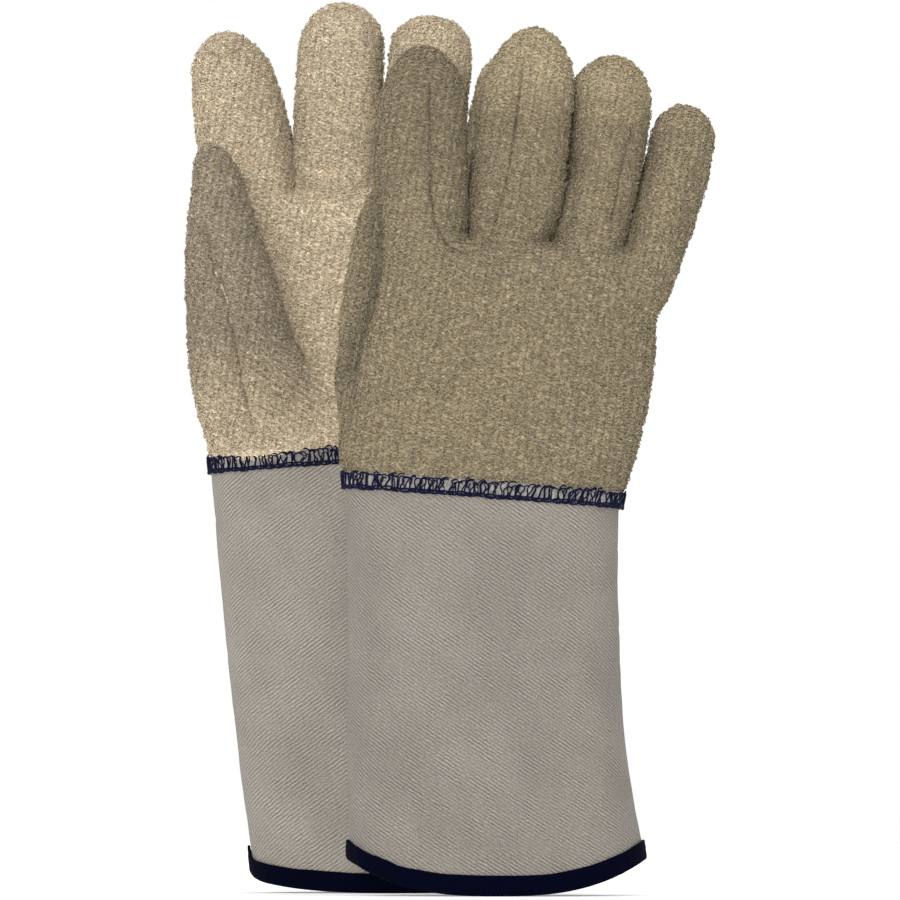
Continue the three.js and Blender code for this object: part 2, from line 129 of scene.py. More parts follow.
# Along a digit, from its root to its tip: distance past the hinge, then half width, half depth, and
# how far the middle line lies to the +x side and to the palm's side of the straight line.
DIGITS = {
    "right": {
        "index": [(-60, 17, 15, 0, 0), (-30, 19.2, 17.5, 0, 0), (0, 20.0, 17, 0, 0),
                  (10, 19.0, 16.5, -0.4, 1), (24, 18.4, 16, -0.2, 2), (50, 18.4, 15, 0.2, 5)],
        "middle": [(-60, 14, 15, -1, 0), (-34, 17.8, 17, -0.6, 0), (-22, 20.4, 17.5, 0.8, 0),
                   (-8, 22.0, 17.5, 2.0, 0), (8, 21.9, 17, 2.4, 0.5), (18, 21.3, 17, 2.0, 1.5),
                   (30, 21.2, 16.5, 2.0, 3), (58, 20.6, 15, 1.2, 6)],
        "ring": [(-55, 13, 14, -1.5, 0), (-30, 16.0, 16, -1.4, 0), (-10, 17.8, 16.5, -1.4, 0),
                 (8, 18.8, 16.5, -1.2, 0), (20, 18.4, 16, -1.6, 1.5), (32, 17.2, 15, -1.2, 3),
                 (48, 16, 14, -0.4, 5)],
        "little": [(-50, 12.4, 13, -2.6, 0), (-15, 14.4, 14.5, -1.8, 0), (0, 14.6, 14.2, -0.9, 0),
                   (14, 13.7, 13.6, -1.0, 1), (34, 12.4, 12, -1.5, 3)],
        "thumb": [(-58, 16, 15, 12, -32), (-34, 23, 17, 4, -22), (-14, 22.6, 16.5, 0, -7),
                  (0, 21.6, 14.6, 0, 0), (28, 19.2, 14.2, 0, 1.5), (52, 14.6, 12, 0, 2.6),
                  (74, 10.5, 9.5, 0, 3)],
    },
    "left": {
        "index": [(-60, 18, 15, 2, 0), (-16, 20.6, 17.5, 1.2, 0), (0, 19.9, 17, -0.4, 0),
                  (18, 19.0, 16.5, -1.2, 2), (32, 17.2, 16, -1.8, 3), (50, 15.3, 14, -4.0, 5)],
        "middle": [(-60, 16, 15, 0, 0), (-16, 18.3, 17.5, 0, 0), (0, 18.8, 17.5, 0.5, 0),
                   (28, 18.8, 17, 1.2, 2.5), (44, 18.2, 16, 1.8, 4), (58, 17.6, 15, 1.8, 6)],
        "ring": [(-55, 14, 14, 0, 0), (-12, 16.8, 16.5, 0, 0), (8, 17.4, 16.5, 0, 0),
                 (30, 18.0, 16, 0.3, 2), (54, 17.4, 14, 0.6, 5)],
        "little": [(-50, 13, 13, 0, 0), (-12, 14, 14.5, 0, 0), (8, 13.6, 14, 0, 0),
                   (30, 13, 13.4, 0, 1.5), (48, 11.5, 12, 0, 3)],
        "thumb": [(-58, 18, 15, 16, -30), (-34, 27, 17, 6, -21), (-14, 24, 16.5, 2.2, -7),
                  (0, 21.8, 14.6, 1.6, 0), (22, 19.4, 14.2, 1.6, 1.2), (43, 15.4, 12.8, 1.9, 2),
                  (65, 10.1, 10.4, 3.4, 2.8), (82, 7.8, 8.4, 3, 3)],
    },
}
# How each tip closes: over what length, the exponent of its outline (2 is round, less is pointed), and
# how much longer it is than its CAD sleeve.
TIPS = {
    "right": {"index": (25, 1.6, -0.6), "middle": (32, 1.5, -1.2), "ring": (19, 2.0, -2.4),
              "little": (15, 2.1, -3.2), "thumb": (18, 2.2, 0)},
    "left": {"index": (20, 2.1, 0.2), "middle": (21, 2.3, 0.3), "ring": (18, 2.5, 1.2),
             "little": (15, 2.3, 0), "thumb": (15, 2.0, 0)},
}

# The hand. Wrist: x and z of the middle of its seam and the seam's slope; crotch: how far over the wrist the
# palm's own shape ends; rows, up the hand: height over the wrist, middle x, half width, half depth.
HANDS = {
    "right": {
        "wrist": (16.2, 167.5, -0.075),
        "crotch": 103.0,
        "rows": [(-12, 15.4, 57.2, 28.2), (0, 15.4, 57.6, 28.4), (20, 17.4, 60.8, 28),
                 (34, 20.2, 62.4, 27.4), (60, 25.2, 61.6, 26), (75, 27.3, 59.9, 25),
                 (88, 29.3, 59.7, 23.5), (107, 34.0, 62.2, 20.5)],
    },
    "left": {
        "wrist": (-41.6, 184.6, 0.068),
        "crotch": 112.0,
        "rows": [(-12, -41.6, 58.4, 28.2), (0, -41.4, 58.4, 28.4), (25, -40.6, 61.6, 28),
                 (50, -39.2, 63.4, 27),
                 (75, -37.6, 65, 25), (100, -36, 66, 23), (116, -35, 66.6, 20.5)],
    },
}
PALM_ROUNDNESS = 2.3  # exponents of the sections' outlines, 2 being an ellipse
DIGIT_ROUNDNESS = 2.12
ROOT_START = 45  # a digit's own shape closes this far below its hinge, inside the palm
ROOT_ROUNDING = 14
CROTCH_BLEND = 9.0  # how softly the palm's shape ends at the crotches
FINGER_BLEND = 5.0  # and how softly the fingers join it
SLIT_BLEND = 1.6  # how round the edges of the slits between digits are
FINGER_GAP = 1.0
FINGER_LAP = 0.6  # the slit between two fingers leans, so that one finger laps over the next
THUMB_GAP = 2.0
THUMB_BLEND = 11  # how softly the thumb's root joins the palm
THUMB_CUT = 3.0  # the thumb's own piece starts this far past its hinge
FINGER_CUT = {"right": -21.0, "left": -11.0}  # and the fingers' this far
THUMB_BEND_END = 30.0  # past its hinge, the end of a digit's bend; assemble works out this point but uses it for nothing
BEND_END = {"right": 22.0, "left": 18.0}


def soft_table(rows, spread):
    """Interpolates the rows, rounded off over a distance, so that a loft has no corners."""
    rows = np.array(rows, float)
    at = np.arange(rows[0, 0] - 3 * spread, rows[-1, 0] + 3 * spread, 0.5)
    kernel = np.exp(-0.5 * (np.arange(-3 * spread, 3 * spread + 0.5, 0.5) / spread) ** 2)
    kernel /= kernel.sum()
    columns = []
    for column in rows[:, 1:].T:
        sharp = np.interp(at, rows[:, 0], column)
        padded = np.pad(sharp, len(kernel) // 2, mode="edge")
        columns.append(np.convolve(padded, kernel, "valid")[: len(at)])
    return lambda where: [np.interp(where, at, c).astype(np.float32) for c in columns]


HAND_TABLES = {side: soft_table(hand["rows"], 6.0) for side, hand in HANDS.items()}


def ring_distance(across, deep, half_width, half_depth, power):
    """About how far a point is outside a superellipse."""
    a = np.abs(across) / half_width
    b = np.abs(deep) / half_depth
    pa, pb = a ** (power - 1), b ** (power - 1)
    total = np.maximum(pa * a + pb * b, 1e-4)
    radius = total ** (1 / power)
    slope = np.sqrt((pa / half_width) ** 2 + (pb / half_depth) ** 2) * radius / total
    return radius, (radius - 1) / np.maximum(slope, 1e-3)


def smooth_min(a, b, width):
    """The lesser of two distances, rounded off where they are within that width of each other."""
    mix = np.clip(0.5 + 0.5 * (b - a) / width, 0, 1)
    return b + (a - b) * mix - width * mix * (1 - mix)


def smooth_max(a, b, width):
    """The greater of two distances, rounded off in the same way."""
    return -smooth_min(-a, -b, width)


class Hand:
    """The terry part of one glove, as a distance field."""

    def __init__(self, side):
        self.side = side
        self.wrist_x, self.wrist_z, self.wrist_slope = HANDS[side]["wrist"]
        self.crotch = HANDS[side]["crotch"]
        self.lines = {name: digit_line(side, name) for name in FINGERS + ("thumb",)}
        self.profiles = {name: soft_table(DIGITS[side][name], 4.0) for name in self.lines}

    def rise(self, x, z):
        """Height above the wrist seam."""
        return z - self.wrist_z - self.wrist_slope * (x - self.wrist_x)

    def along(self, name, x, z):
        """Distance past a digit's hinge, and across it."""
        hinge, direction, _ = self.lines[name]
        dx, dz = x - hinge[0], z - hinge[2]
        return dx * direction[0] + dz * direction[2], dx * direction[2] - dz * direction[0]

    def digit(self, name, x, y, z):
        """Distance out from a digit's own shape."""
        hinge, _, length = self.lines[name]
        past, across = self.along(name, x, z)
        half_width, half_depth, shift, palmwards = self.profiles[name](past)
        radius, distance = ring_distance(
            across - shift, y - hinge[1] - palmwards, half_width, half_depth, DIGIT_ROUNDNESS
        )
        rounding, power, longer = TIPS[self.side][name]
        tip = np.maximum(past - (length + longer - rounding), 0) / rounding
        root = np.maximum(-past - ROOT_START, 0) / ROOT_ROUNDING
        capped = (radius**2 + tip**power + root**2) ** 0.5
        return np.where(tip + root > 0, (capped - 1) * np.minimum(half_width, half_depth), distance)

    def palm(self, x, y, z):
        """Distance out from the palm and the back of the hand."""
        rise = self.rise(x, z)
        middle, half_width, half_depth = HAND_TABLES[self.side](rise)
        _, distance = ring_distance(x - middle, y, half_width, half_depth, PALM_ROUNDNESS)
        return smooth_max(distance, rise - self.crotch, CROTCH_BLEND)

    def field(self, x, y, z):
        """Distance out from the whole hand, with slits between its digits."""
        palm = self.palm(x, y, z)
        digits = {name: self.digit(name, x, y, z) for name in self.lines}
        fingers = np.full_like(palm, 99.0)
        for i, name in enumerate(FINGERS):
            finger = digits[name]
            for step in (-1, 1):
                if 0 <= i + step < len(FINGERS):
                    apart = digits[name] - digits[FINGERS[i + step]] + step * FINGER_LAP * y
                    finger = smooth_max(finger, (apart + FINGER_GAP) / 2, SLIT_BLEND)
            fingers = np.minimum(fingers, finger)
        total = smooth_min(palm, fingers, FINGER_BLEND)
        past, _ = self.along("thumb", x, z)
        below = np.clip((THUMB_CUT - 1 - past) / 12, 0, 1)
        slit = (digits["thumb"] - total + THUMB_GAP) / 2 - 40 * below
        thumb = smooth_max(digits["thumb"], slit, SLIT_BLEND)
        return smooth_min(total, thumb, 0.05 + THUMB_BLEND * below)


# ------------------------------------------------------------------ meshing

def surface(field, low, high, step, level=0.0):
    """Points and quads of the surface where the field has that level, one point to a grid cell."""
    axes = [np.arange(lo, hi + step, step, dtype=np.float32) for lo, hi in zip(low, high)]
    shape = tuple(len(axis) for axis in axes)
    values = np.empty(shape, np.float32)
    for i in range(shape[0]):
        y, z = np.meshgrid(axes[1], axes[2], indexing="ij")
        values[i] = field(np.full_like(y, axes[0][i]), y, z) - level
    inside = values < 0
    stride = np.array([shape[1] * shape[2], shape[2], 1])
    cells, weights, quads = [], [], []
    for axis in range(3):
        near = [slice(None)] * 3
        far = [slice(None)] * 3
        near[axis], far[axis] = slice(0, -1), slice(1, None)
        crossing = inside[tuple(near)] != inside[tuple(far)]
        others = [k for k in range(3) if k != axis]
        for k in others:
            edge = [slice(None)] * 3
            edge[k] = slice(0, 1)
            crossing[tuple(edge)] = False
            edge[k] = slice(-1, None)
            crossing[tuple(edge)] = False
        index = np.argwhere(crossing)
        start = values[tuple(index.T)]
        after = index.copy()
        after[:, axis] += 1
        end = values[tuple(after.T)]
        where = index.astype(np.float64)
        where[:, axis] += start / (start - end)
        flat = index @ stride
        b, c = stride[(axis + 1) % 3], stride[(axis + 2) % 3]
        around = np.stack([flat - b - c, flat - c, flat, flat - b], axis=1)
        turned = start > 0
        around[turned] = around[turned][:, ::-1]
        quads.append(around)
        cells.append(around.ravel())
        weights.append(np.repeat(where, 4, axis=0))
    cells = np.concatenate(cells)
    weights = np.concatenate(weights)
    used, inverse = np.unique(cells, return_inverse=True)
    count = np.bincount(inverse)
    points = np.stack([np.bincount(inverse, weights[:, k]) / count for k in range(3)], axis=1)
    points = points * step + np.array([axis[0] for axis in axes])
    return points, np.searchsorted(used, np.concatenate(quads))


def gradient(field, points, reach=0.25):
    """The field's slope at each point, from its values at a small distance either way."""
    columns = []
    for k in range(3):
        ahead, behind = points.copy(), points.copy()
        ahead[:, k] += reach
        behind[:, k] -= reach
        columns.append(field(*ahead.T) - field(*behind.T))
    return np.stack(columns, axis=1) / (2 * reach)


def relax(points, quads, rounds=2):
    """Evens the mesh out, so that the grid it came from doesn't show."""
    edges = np.concatenate([quads[:, [k, (k + 1) % 4]] for k in range(4)])
    here, there = np.concatenate([edges, edges[:, ::-1]]).T
    count = np.maximum(np.bincount(here, minlength=len(points)), 1)
    for _ in range(rounds):
        mean = np.stack([np.bincount(here, points[there, k], len(points)) / count for k in range(3)], axis=1)
        points = points + 0.5 * (mean - points)
    return points


def snapped(field, points, level=0.0):
    """Moves points onto the surface, and gives its normals there."""
    for _ in range(2):
        slope = gradient(field, points)
        steep = np.maximum((slope**2).sum(1), 0.05)
        move = (field(*points.T) - level) / steep
        points = points - np.clip(move, -1.5, 1.5)[:, None] * slope
    slope = gradient(field, points)
    return points, slope / np.maximum(np.linalg.norm(slope, axis=1), 1e-6)[:, None]


# ------------------------------------------------------------------ noise

def hashed(cell, seed):
    """A number from 0 to 1 for each whole-numbered cell."""
    x, y, z = (cell[..., k].astype(np.int64).astype(np.uint32) for k in range(3))
    h = x * np.uint32(0x8DA6B343) ^ y * np.uint32(0xD8163841) ^ z * np.uint32(0xCB1AB31F)
    h ^= np.uint32((seed * 0x9E3779B1) & 0xFFFFFFFF)
    h ^= h >> np.uint32(15)
    h *= np.uint32(0x2C1B3C6D)
    h ^= h >> np.uint32(12)
    h *= np.uint32(0x297A2D39)
    h ^= h >> np.uint32(15)
    return h.astype(np.float64) / 4294967295.0


def noise(points, size, seed):
    """Smooth noise from -1 to 1, with features of about that size."""
    q = np.asarray(points) / size
    base = np.floor(q)
    f = q - base
    f = f * f * f * (f * (f * 6 - 15) + 10)
    total = np.zeros(len(q))
    for corner in range(8):
        offset = np.array([corner >> 2 & 1, corner >> 1 & 1, corner & 1])
        weight = np.prod(np.where(offset == 1, f, 1 - f), axis=1)
        total += weight * hashed(base + offset, seed)
    return total * 2 - 1


LOOP_SIZE = np.array([2.15, 2.0, 1.75])  # spacing of the loops: across, through and along the hand
LOOP_LEAN = 0.15  # the columns of loops lean this much to +x as they go up


def loops(points, normals, seed):
    """The pile: how high the highest loop stands at each point, from 0 to 1."""
    sheared = points.copy()
    sheared[:, 0] -= LOOP_LEAN * points[:, 2]
    q = sheared / LOOP_SIZE
    base = np.floor(q)
    best = np.zeros(len(q))
    for i in (-1, 0, 1):
        for j in (-1, 0, 1):
            for k in (-1, 0, 1):
                cell = base + np.array([i, j, k])
                jitter = np.stack([hashed(cell, seed + n) for n in range(3)], axis=1)
                away = (q - cell - 0.18 - 0.64 * jitter) * LOOP_SIZE
                inward = (away * normals).sum(1)
                away = away - normals * inward[:, None]
                turn = (hashed(cell, seed + 3) - 0.5) * 2.2
                lie = np.stack([np.cos(turn), (hashed(cell, seed + 4) - 0.5) * 1.2, np.sin(turn)], axis=1)
                lie -= normals * (lie * normals).sum(1)[:, None]
                lie /= np.maximum(np.linalg.norm(lie, axis=1), 0.2)[:, None]
                lengthways = (away * lie).sum(1)
                sideways2 = np.maximum((away**2).sum(1) - lengthways**2, 0)
                reach = (lengthways / 1.75) ** 2 + sideways2 / 0.78**2 + (inward / 1.5) ** 2
                tall = 0.45 + 0.55 * hashed(cell, seed + 5)
                best = np.maximum(best, tall * np.sqrt(np.maximum(1 - reach, 0)))
    return best


# ------------------------------------------------------------------ mesh objects

def make_mesh(name, points, quads, triangles=None):
    """A smooth-shaded mesh object from points in metres."""
    triangles = np.zeros((0, 3), int) if triangles is None else triangles
    mesh = bpy.data.meshes.new(name)
    mesh.vertices.add(len(points))
    mesh.vertices.foreach_set("co", np.asarray(points, np.float32).ravel())
    corners = np.concatenate([quads.ravel(), triangles.ravel()]).astype(np.int32)
    mesh.loops.add(len(corners))
    mesh.loops.foreach_set("vertex_index", corners)
    starts = np.concatenate(
        [np.arange(len(quads)) * 4, len(quads) * 4 + np.arange(len(triangles)) * 3]
    ).astype(np.int32)
    mesh.polygons.add(len(starts))
    mesh.polygons.foreach_set("loop_start", starts)
    mesh.update(calc_edges=True)
    mesh.validate()
    mesh.polygons.foreach_set("use_smooth", np.ones(len(mesh.polygons), bool))
    obj = bpy.data.objects.new(name, mesh)
    bpy.context.scene.collection.objects.link(obj)
    return obj


def set_attribute(obj, name, values):
    """Gives each point of a mesh a number or a vector that its material can read."""
    values = np.asarray(values, np.float32)
    kind = "FLOAT_VECTOR" if values.ndim == 2 else "FLOAT"
    attribute = obj.data.attributes.new(name, kind, "POINT")
    attribute.data.foreach_set("vector" if values.ndim == 2 else "value", values.ravel())


def boundary_loops(faces):
    """The closed chains of edges that only one face uses, each as an ordered list of points."""
    edges = np.concatenate([faces[:, [k, (k + 1) % faces.shape[1]]] for k in range(faces.shape[1])])
    key = np.sort(edges, axis=1)
    _, first, count = np.unique(key, axis=0, return_index=True, return_counts=True)
    following = {}
    for a, b in edges[first[count == 1]]:
        following.setdefault(int(a), []).append(int(b))
    chains = []
    while following:
        start = next(iter(following))
        chain = [start]
        here = start
        while here in following:
            ahead = following[here].pop()
            if not following[here]:
                del following[here]
            if ahead == start:
                break
            chain.append(ahead)
            here = ahead
        chains.append(chain)
    return chains


def strip_between(points, outer, inner):
    """Triangles that join two rings of points that run the same way round."""
    first = int(np.argmin(((points[inner] - points[outer[0]]) ** 2).sum(1)))
    inner = inner[first:] + inner[:first]
    triangles = []
    i = j = 0
    n, m = len(outer), len(inner)
    while i < n or j < m:
        a, b = outer[i % n], inner[j % m]
        if j >= m or (i < n and (i + 1) / n <= (j + 1) / m):
            triangles.append((a, b, outer[(i + 1) % n]))
            i += 1
        else:
            triangles.append((b, inner[(j + 1) % m], a))
            j += 1
    return np.array(triangles)


def near_ring(points, ring, others):
    """The ring among the others whose middle is nearest to this ring's."""
    middle = points[ring].mean(0)
    return min(others, key=lambda other: ((points[other].mean(0) - middle) ** 2).sum())


def closed_shell(outer, outer_quads, inner, inner_quads, rings):
    """One closed skin out of an outer one and an inner one, joined along their largest open rings."""
    points = np.concatenate([outer, inner])
    inner_quads = inner_quads[:, ::-1] + len(outer)
    outside = sorted(boundary_loops(outer_quads), key=len)[-rings:]
    inside = sorted(boundary_loops(inner_quads), key=len)[-rings:]
    strips = [strip_between(points, ring, near_ring(points, ring, inside)[::-1]) for ring in outside]
    return points, np.concatenate([outer_quads, inner_quads]), np.concatenate(strips)


# ------------------------------------------------------------------ the terry's relief

# Sewn lines: which face they are on, -1 the back of the hand and 1 the palm, how deep, and x, z along them.
U_SEAM = [(-6.5, 337), (-5.7, 289.5), (-3.6, 277), (1.8, 268.7), (8, 265.8), (14.3, 267.9), (19.3, 273.7),
          (21.3, 280.4), (24.7, 293.7), (27.6, 310.3), (29.7, 324.9), (31.7, 343.6)]
RING_SEAMS = [[(52.1, 306), (51.3, 277)], [(77.9, 316.6), (73.3, 297.9), (69.2, 279.1)]]
PAIR_SHIFT = (-69.3, 24.0)  # from the right glove's crotches to the left one's


def shifted(chain):
    """A sewn line of the right glove, moved to the left one."""
    return [(x + PAIR_SHIFT[0], z + PAIR_SHIFT[1]) for x, z in chain]


PALM_EDGE = [(-27.7, 298), (-26.9, 277), (-26.5, 260.4), (-28.2, 248), (-31.1, 239), (-34.8, 229),
             (-37.7, 217), (-39.8, 206), (-41.5, 194)]  # where the right glove's back is sewn to its thumb
THUMB_SIDE = [(-101.7, 281.3), (-97.5, 262.2), (-91.5, 248.5), (-87.7, 228.1), (-85.5, 215.3),
              (-82.6, 202.5), (-80.9, 193.2)]
INDEX_CREASE = [(-102.6, 357.2), (-95.3, 353.8), (-85.5, 358.0)]
SEAMS = {
    "right": [(-1, 0.95, chain) for chain in [U_SEAM] + RING_SEAMS]
    + [(-1, 0.75, PALM_EDGE), (1, 0.55, [(7, 275), (52, 273)])],
    "left": [(-1, 0.95, shifted(chain)) for chain in [U_SEAM] + RING_SEAMS]
    + [(1, 0.55, [(-62, 299), (-44, 297), (-27, 298)]), (1, 0.95, THUMB_SIDE), (1, 0.9, INDEX_CREASE)],
}


def seam_distance(x, z, chain):
    """How far each point is from a sewn line, seen square to the palm."""
    best = np.full(len(x), 99.0)
    for (ax, az), (bx, bz) in zip(chain, chain[1:]):
        dx, dz = bx - ax, bz - az
        t = np.clip(((x - ax) * dx + (z - az) * dz) / (dx * dx + dz * dz), 0, 1)
        best = np.minimum(best, np.hypot(x - ax - t * dx, z - az - t * dz))
    return best


SEAM_WIDTH = 0.85  # how far a seam's groove reaches to each side, and the hollow it lies in
VALLEY_WIDTH = 4.5
PUCKER_AT, PUCKER_WIDTH = 3.4, 1.9  # from the seam
RIDGES_AT = (-66, 213)  # the middle of the puckers at the root of the left glove's thumb
RIDGES_REACH = (18, 23)
RIDGES_SLANT = math.radians(33)
RIDGE_SPACING = 2.9
RIDGE_HEIGHT = 0.6
COLUMN_SPACING = 3.2


def relief(hand, points, normals, owner):
    """How far folds, seams and pile move the cloth out; the pile's height; the seams' depth, and with it the
    hollows round them and the troughs of the puckers, which the material paints as shade.
    """
    x, y, z = points.T
    seam = np.zeros(len(points))
    pucker = np.zeros(len(points))
    valley = np.zeros(len(points))
    for face, depth, chain in SEAMS[hand.side]:
        facing = np.clip(face * normals[:, 1] * 3, 0, 1)
        distance = seam_distance(x, z, chain)
        stitches = 0.75 + 0.35 * noise(points, 1.7, 12)
        seam = np.maximum(seam, facing * depth * stitches * np.exp(-((distance / SEAM_WIDTH) ** 2)))
        valley = np.maximum(valley, facing * np.exp(-((distance / VALLEY_WIDTH) ** 2)))
        pucker = np.maximum(pucker, facing * np.exp(-(((distance - PUCKER_AT) / PUCKER_WIDTH) ** 2)))
    middle = np.zeros(len(points))
    shown = np.ones(len(points))
    for i, name in enumerate(hand.lines):
        past, _ = hand.along(name, x, z)
        _, _, _, palmwards = hand.profiles[name](past)
        own = owner == i
        middle[own] = (hand.lines[name][0][1] + palmwards)[own]
        if name == "thumb":
            shown[own] = np.clip((past[own] + 20) / 10, 0, 1)
    flat_on = np.abs(normals[:, 1])
    side_seam = np.exp(-((y - middle) ** 2)) * np.clip(1.4 - 2.2 * flat_on, 0, 1) * shown
    side_bulge = np.exp(-(((np.abs(y - middle) - 3.2) / 1.8) ** 2)) * np.clip(1.3 - 1.6 * flat_on, 0, 1)
    seam = np.maximum(seam, 0.75 * side_seam)
    pile = loops(points, normals, 11 if hand.side == "right" else 47)
    folds = 0.9 * noise(points, 31, 5) + 0.35 * noise(points, 13, 6) + 0.1 * noise(points, 5.5, 7)
    ridges = np.zeros(len(points))
    if hand.side == "left":
        away_x, away_z = (x - RIDGES_AT[0]) / RIDGES_REACH[0], (z - RIDGES_AT[1]) / RIDGES_REACH[1]
        near = np.exp(-(away_x**2) - (away_z**2)) * np.clip(normals[:, 1], 0, 1)
        wave = x * math.sin(RIDGES_SLANT) + z * math.cos(RIDGES_SLANT) + 0.5 * noise(points, 8, 10)
        ridges = RIDGE_HEIGHT * near * np.cos(2 * math.pi * wave / RIDGE_SPACING)
    columns = np.cos(2 * math.pi * (x - LOOP_LEAN * z + 0.5 * noise(points, 9, 9)) / COLUMN_SPACING)
    out = folds + 1.0 * pile * (1 - 0.7 * seam) - 1.1 - 1.3 * seam - 0.7 * valley + 0.08 * columns + ridges
    out += (0.35 * pucker + 0.3 * side_bulge * shown) * (0.6 + 0.6 * noise(points, 3.6, 8))
    rise = hand.rise(x, z)
    clear = np.clip((rise - 2.6) / 5.5, 0, 1)
    clear = clear * clear * (3 - 2 * clear)
    # The last value, with the valley and the puckers' troughs, darkens the colour: painted shade.
    return out * clear - 1.2 * (1 - clear), pile, np.maximum(seam, 0.16 * valley - ridges)


# Painted light and shade on the terry: how much lighter the index finger and the other fingers' tips are
# painted on the right glove; how light each thumb is painted, and how much lighter the left one's root; and
# how dark the painted shadow is behind the right glove's edge.
INDEX_PAINTED_SHADE, TIP_PAINTED_LIGHT = -0.10, 0.48
THUMB_PAINTED_LIGHTNESS = {"right": 1.12, "left": 0.59}
THUMB_ROOT_PAINTED_LIGHT = 0.39
EDGE_PAINTED_SHADOW = 0.48


def painted_light_of(hand, points, facing):
    """How light each part of the cloth is painted, beside the glove's own colour: painted light and shade,
    and a painted shadow behind the right glove's edge.
    """
    x, y, z = points.T
    past = {name: hand.along(name, x, z)[0] for name in hand.lines}
    palm = hand.palm(x, y, z)
    fields = {name: hand.digit(name, x, y, z) for name in hand.lines}
    fingers = np.min([fields[name] for name in FINGERS], axis=0)
    root = np.maximum(-past["thumb"], 0)
    thumb = np.clip(0.5 + (palm - fields["thumb"]) / (2 + 0.25 * root), 0, 1)
    thumb *= np.clip(0.5 + (fingers - fields["thumb"]) / 4, 0, 1)
    shade = np.ones(len(points))
    if hand.side == "right":
        index = np.clip((past["index"] + 20) / 25, 0, 1) * (fields["index"] <= fingers)
        tips = np.clip((past["middle"] - 14) / 22, 0, 1) * (fields["index"] > fingers)
        # the index finger painted darker, and the middle, ring and little fingers' tips painted lighter
        shade += INDEX_PAINTED_SHADE * index + TIP_PAINTED_LIGHT * tips
        # the right thumb painted lighter
        shade += (THUMB_PAINTED_LIGHTNESS["right"] - shade) * thumb
        # A painted shadow on the right thumb, along the edge of the glove's back that lies over it.
        edge_x, edge_z = np.array(PALM_EDGE[::-1]).T
        behind = np.interp(z, edge_z, edge_x) - x
        shadow = np.exp(-((behind / 6.5) ** 2)) * np.clip(behind / 0.8, 0, 1)
        shadow *= np.clip((z - 206) / 14, 0, 1) * np.clip((300 - z) / 25, 0, 1)
        shadow *= np.clip(-2 * facing[:, 1], 0, 1)
        return shade * (1 - EDGE_PAINTED_SHADOW * shadow)
    # the left glove's hand below its fingers painted lighter
    shade += 0.12 * np.clip(-past["middle"] / 15, 0, 1)
    # the left thumb painted darker, and less so towards its root
    low = np.clip(root / 30, 0, 1)
    own = THUMB_PAINTED_LIGHTNESS["left"] + THUMB_ROOT_PAINTED_LIGHT * low
    return shade + (own - shade) * thumb * np.clip((past["thumb"] + 60) / 20, 0, 1)


def owner_of(hand, points):
    """Which digit each point belongs to, by its place in the list of digits, or -1 for the hand itself."""
    x, y, z = points.T
    names = list(hand.lines)
    fields = np.stack([hand.digit(name, x, y, z) for name in names])
    nearest = fields.argmin(0)
    owned = fields.min(0) < hand.palm(x, y, z)
    past = np.stack([hand.along(name, x, z)[0] for name in names])
    cuts = np.array([THUMB_CUT if name == "thumb" else FINGER_CUT[hand.side] for name in names])
    beyond = np.take_along_axis(past, nearest[None], 0)[0] > cuts[nearest]
    return np.where(owned & beyond, nearest, -1), nearest * owned - (~owned)


def is_terry(side, node):
    """Whether a CAD node is part of that glove's hand, fingers or thumb."""
    on_hand = "cuff" not in node and ("panel" in node or node.endswith(("_back", "_palm")))
    return node.startswith(side) and on_hand


def terry_box(side):
    """A box in the glove's own frame, with room to spare round its terry's CAD solids."""
    nodes = [node for node in frame["nodes"] if is_terry(side, node)]
    boxes = np.array([[list(corner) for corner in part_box(node)] for node in nodes])
    low, high = boxes[:, 0].min(0) / MM, boxes[:, 1].max(0) / MM
    low[1], high[1] = sorted((edge - PLANE[side]) * MIRROR[side] for edge in (low[1], high[1]))
    return low - (TERRY_ROOM, TERRY_ROOM, TERRY_ROOM_BELOW), high + TERRY_ROOM


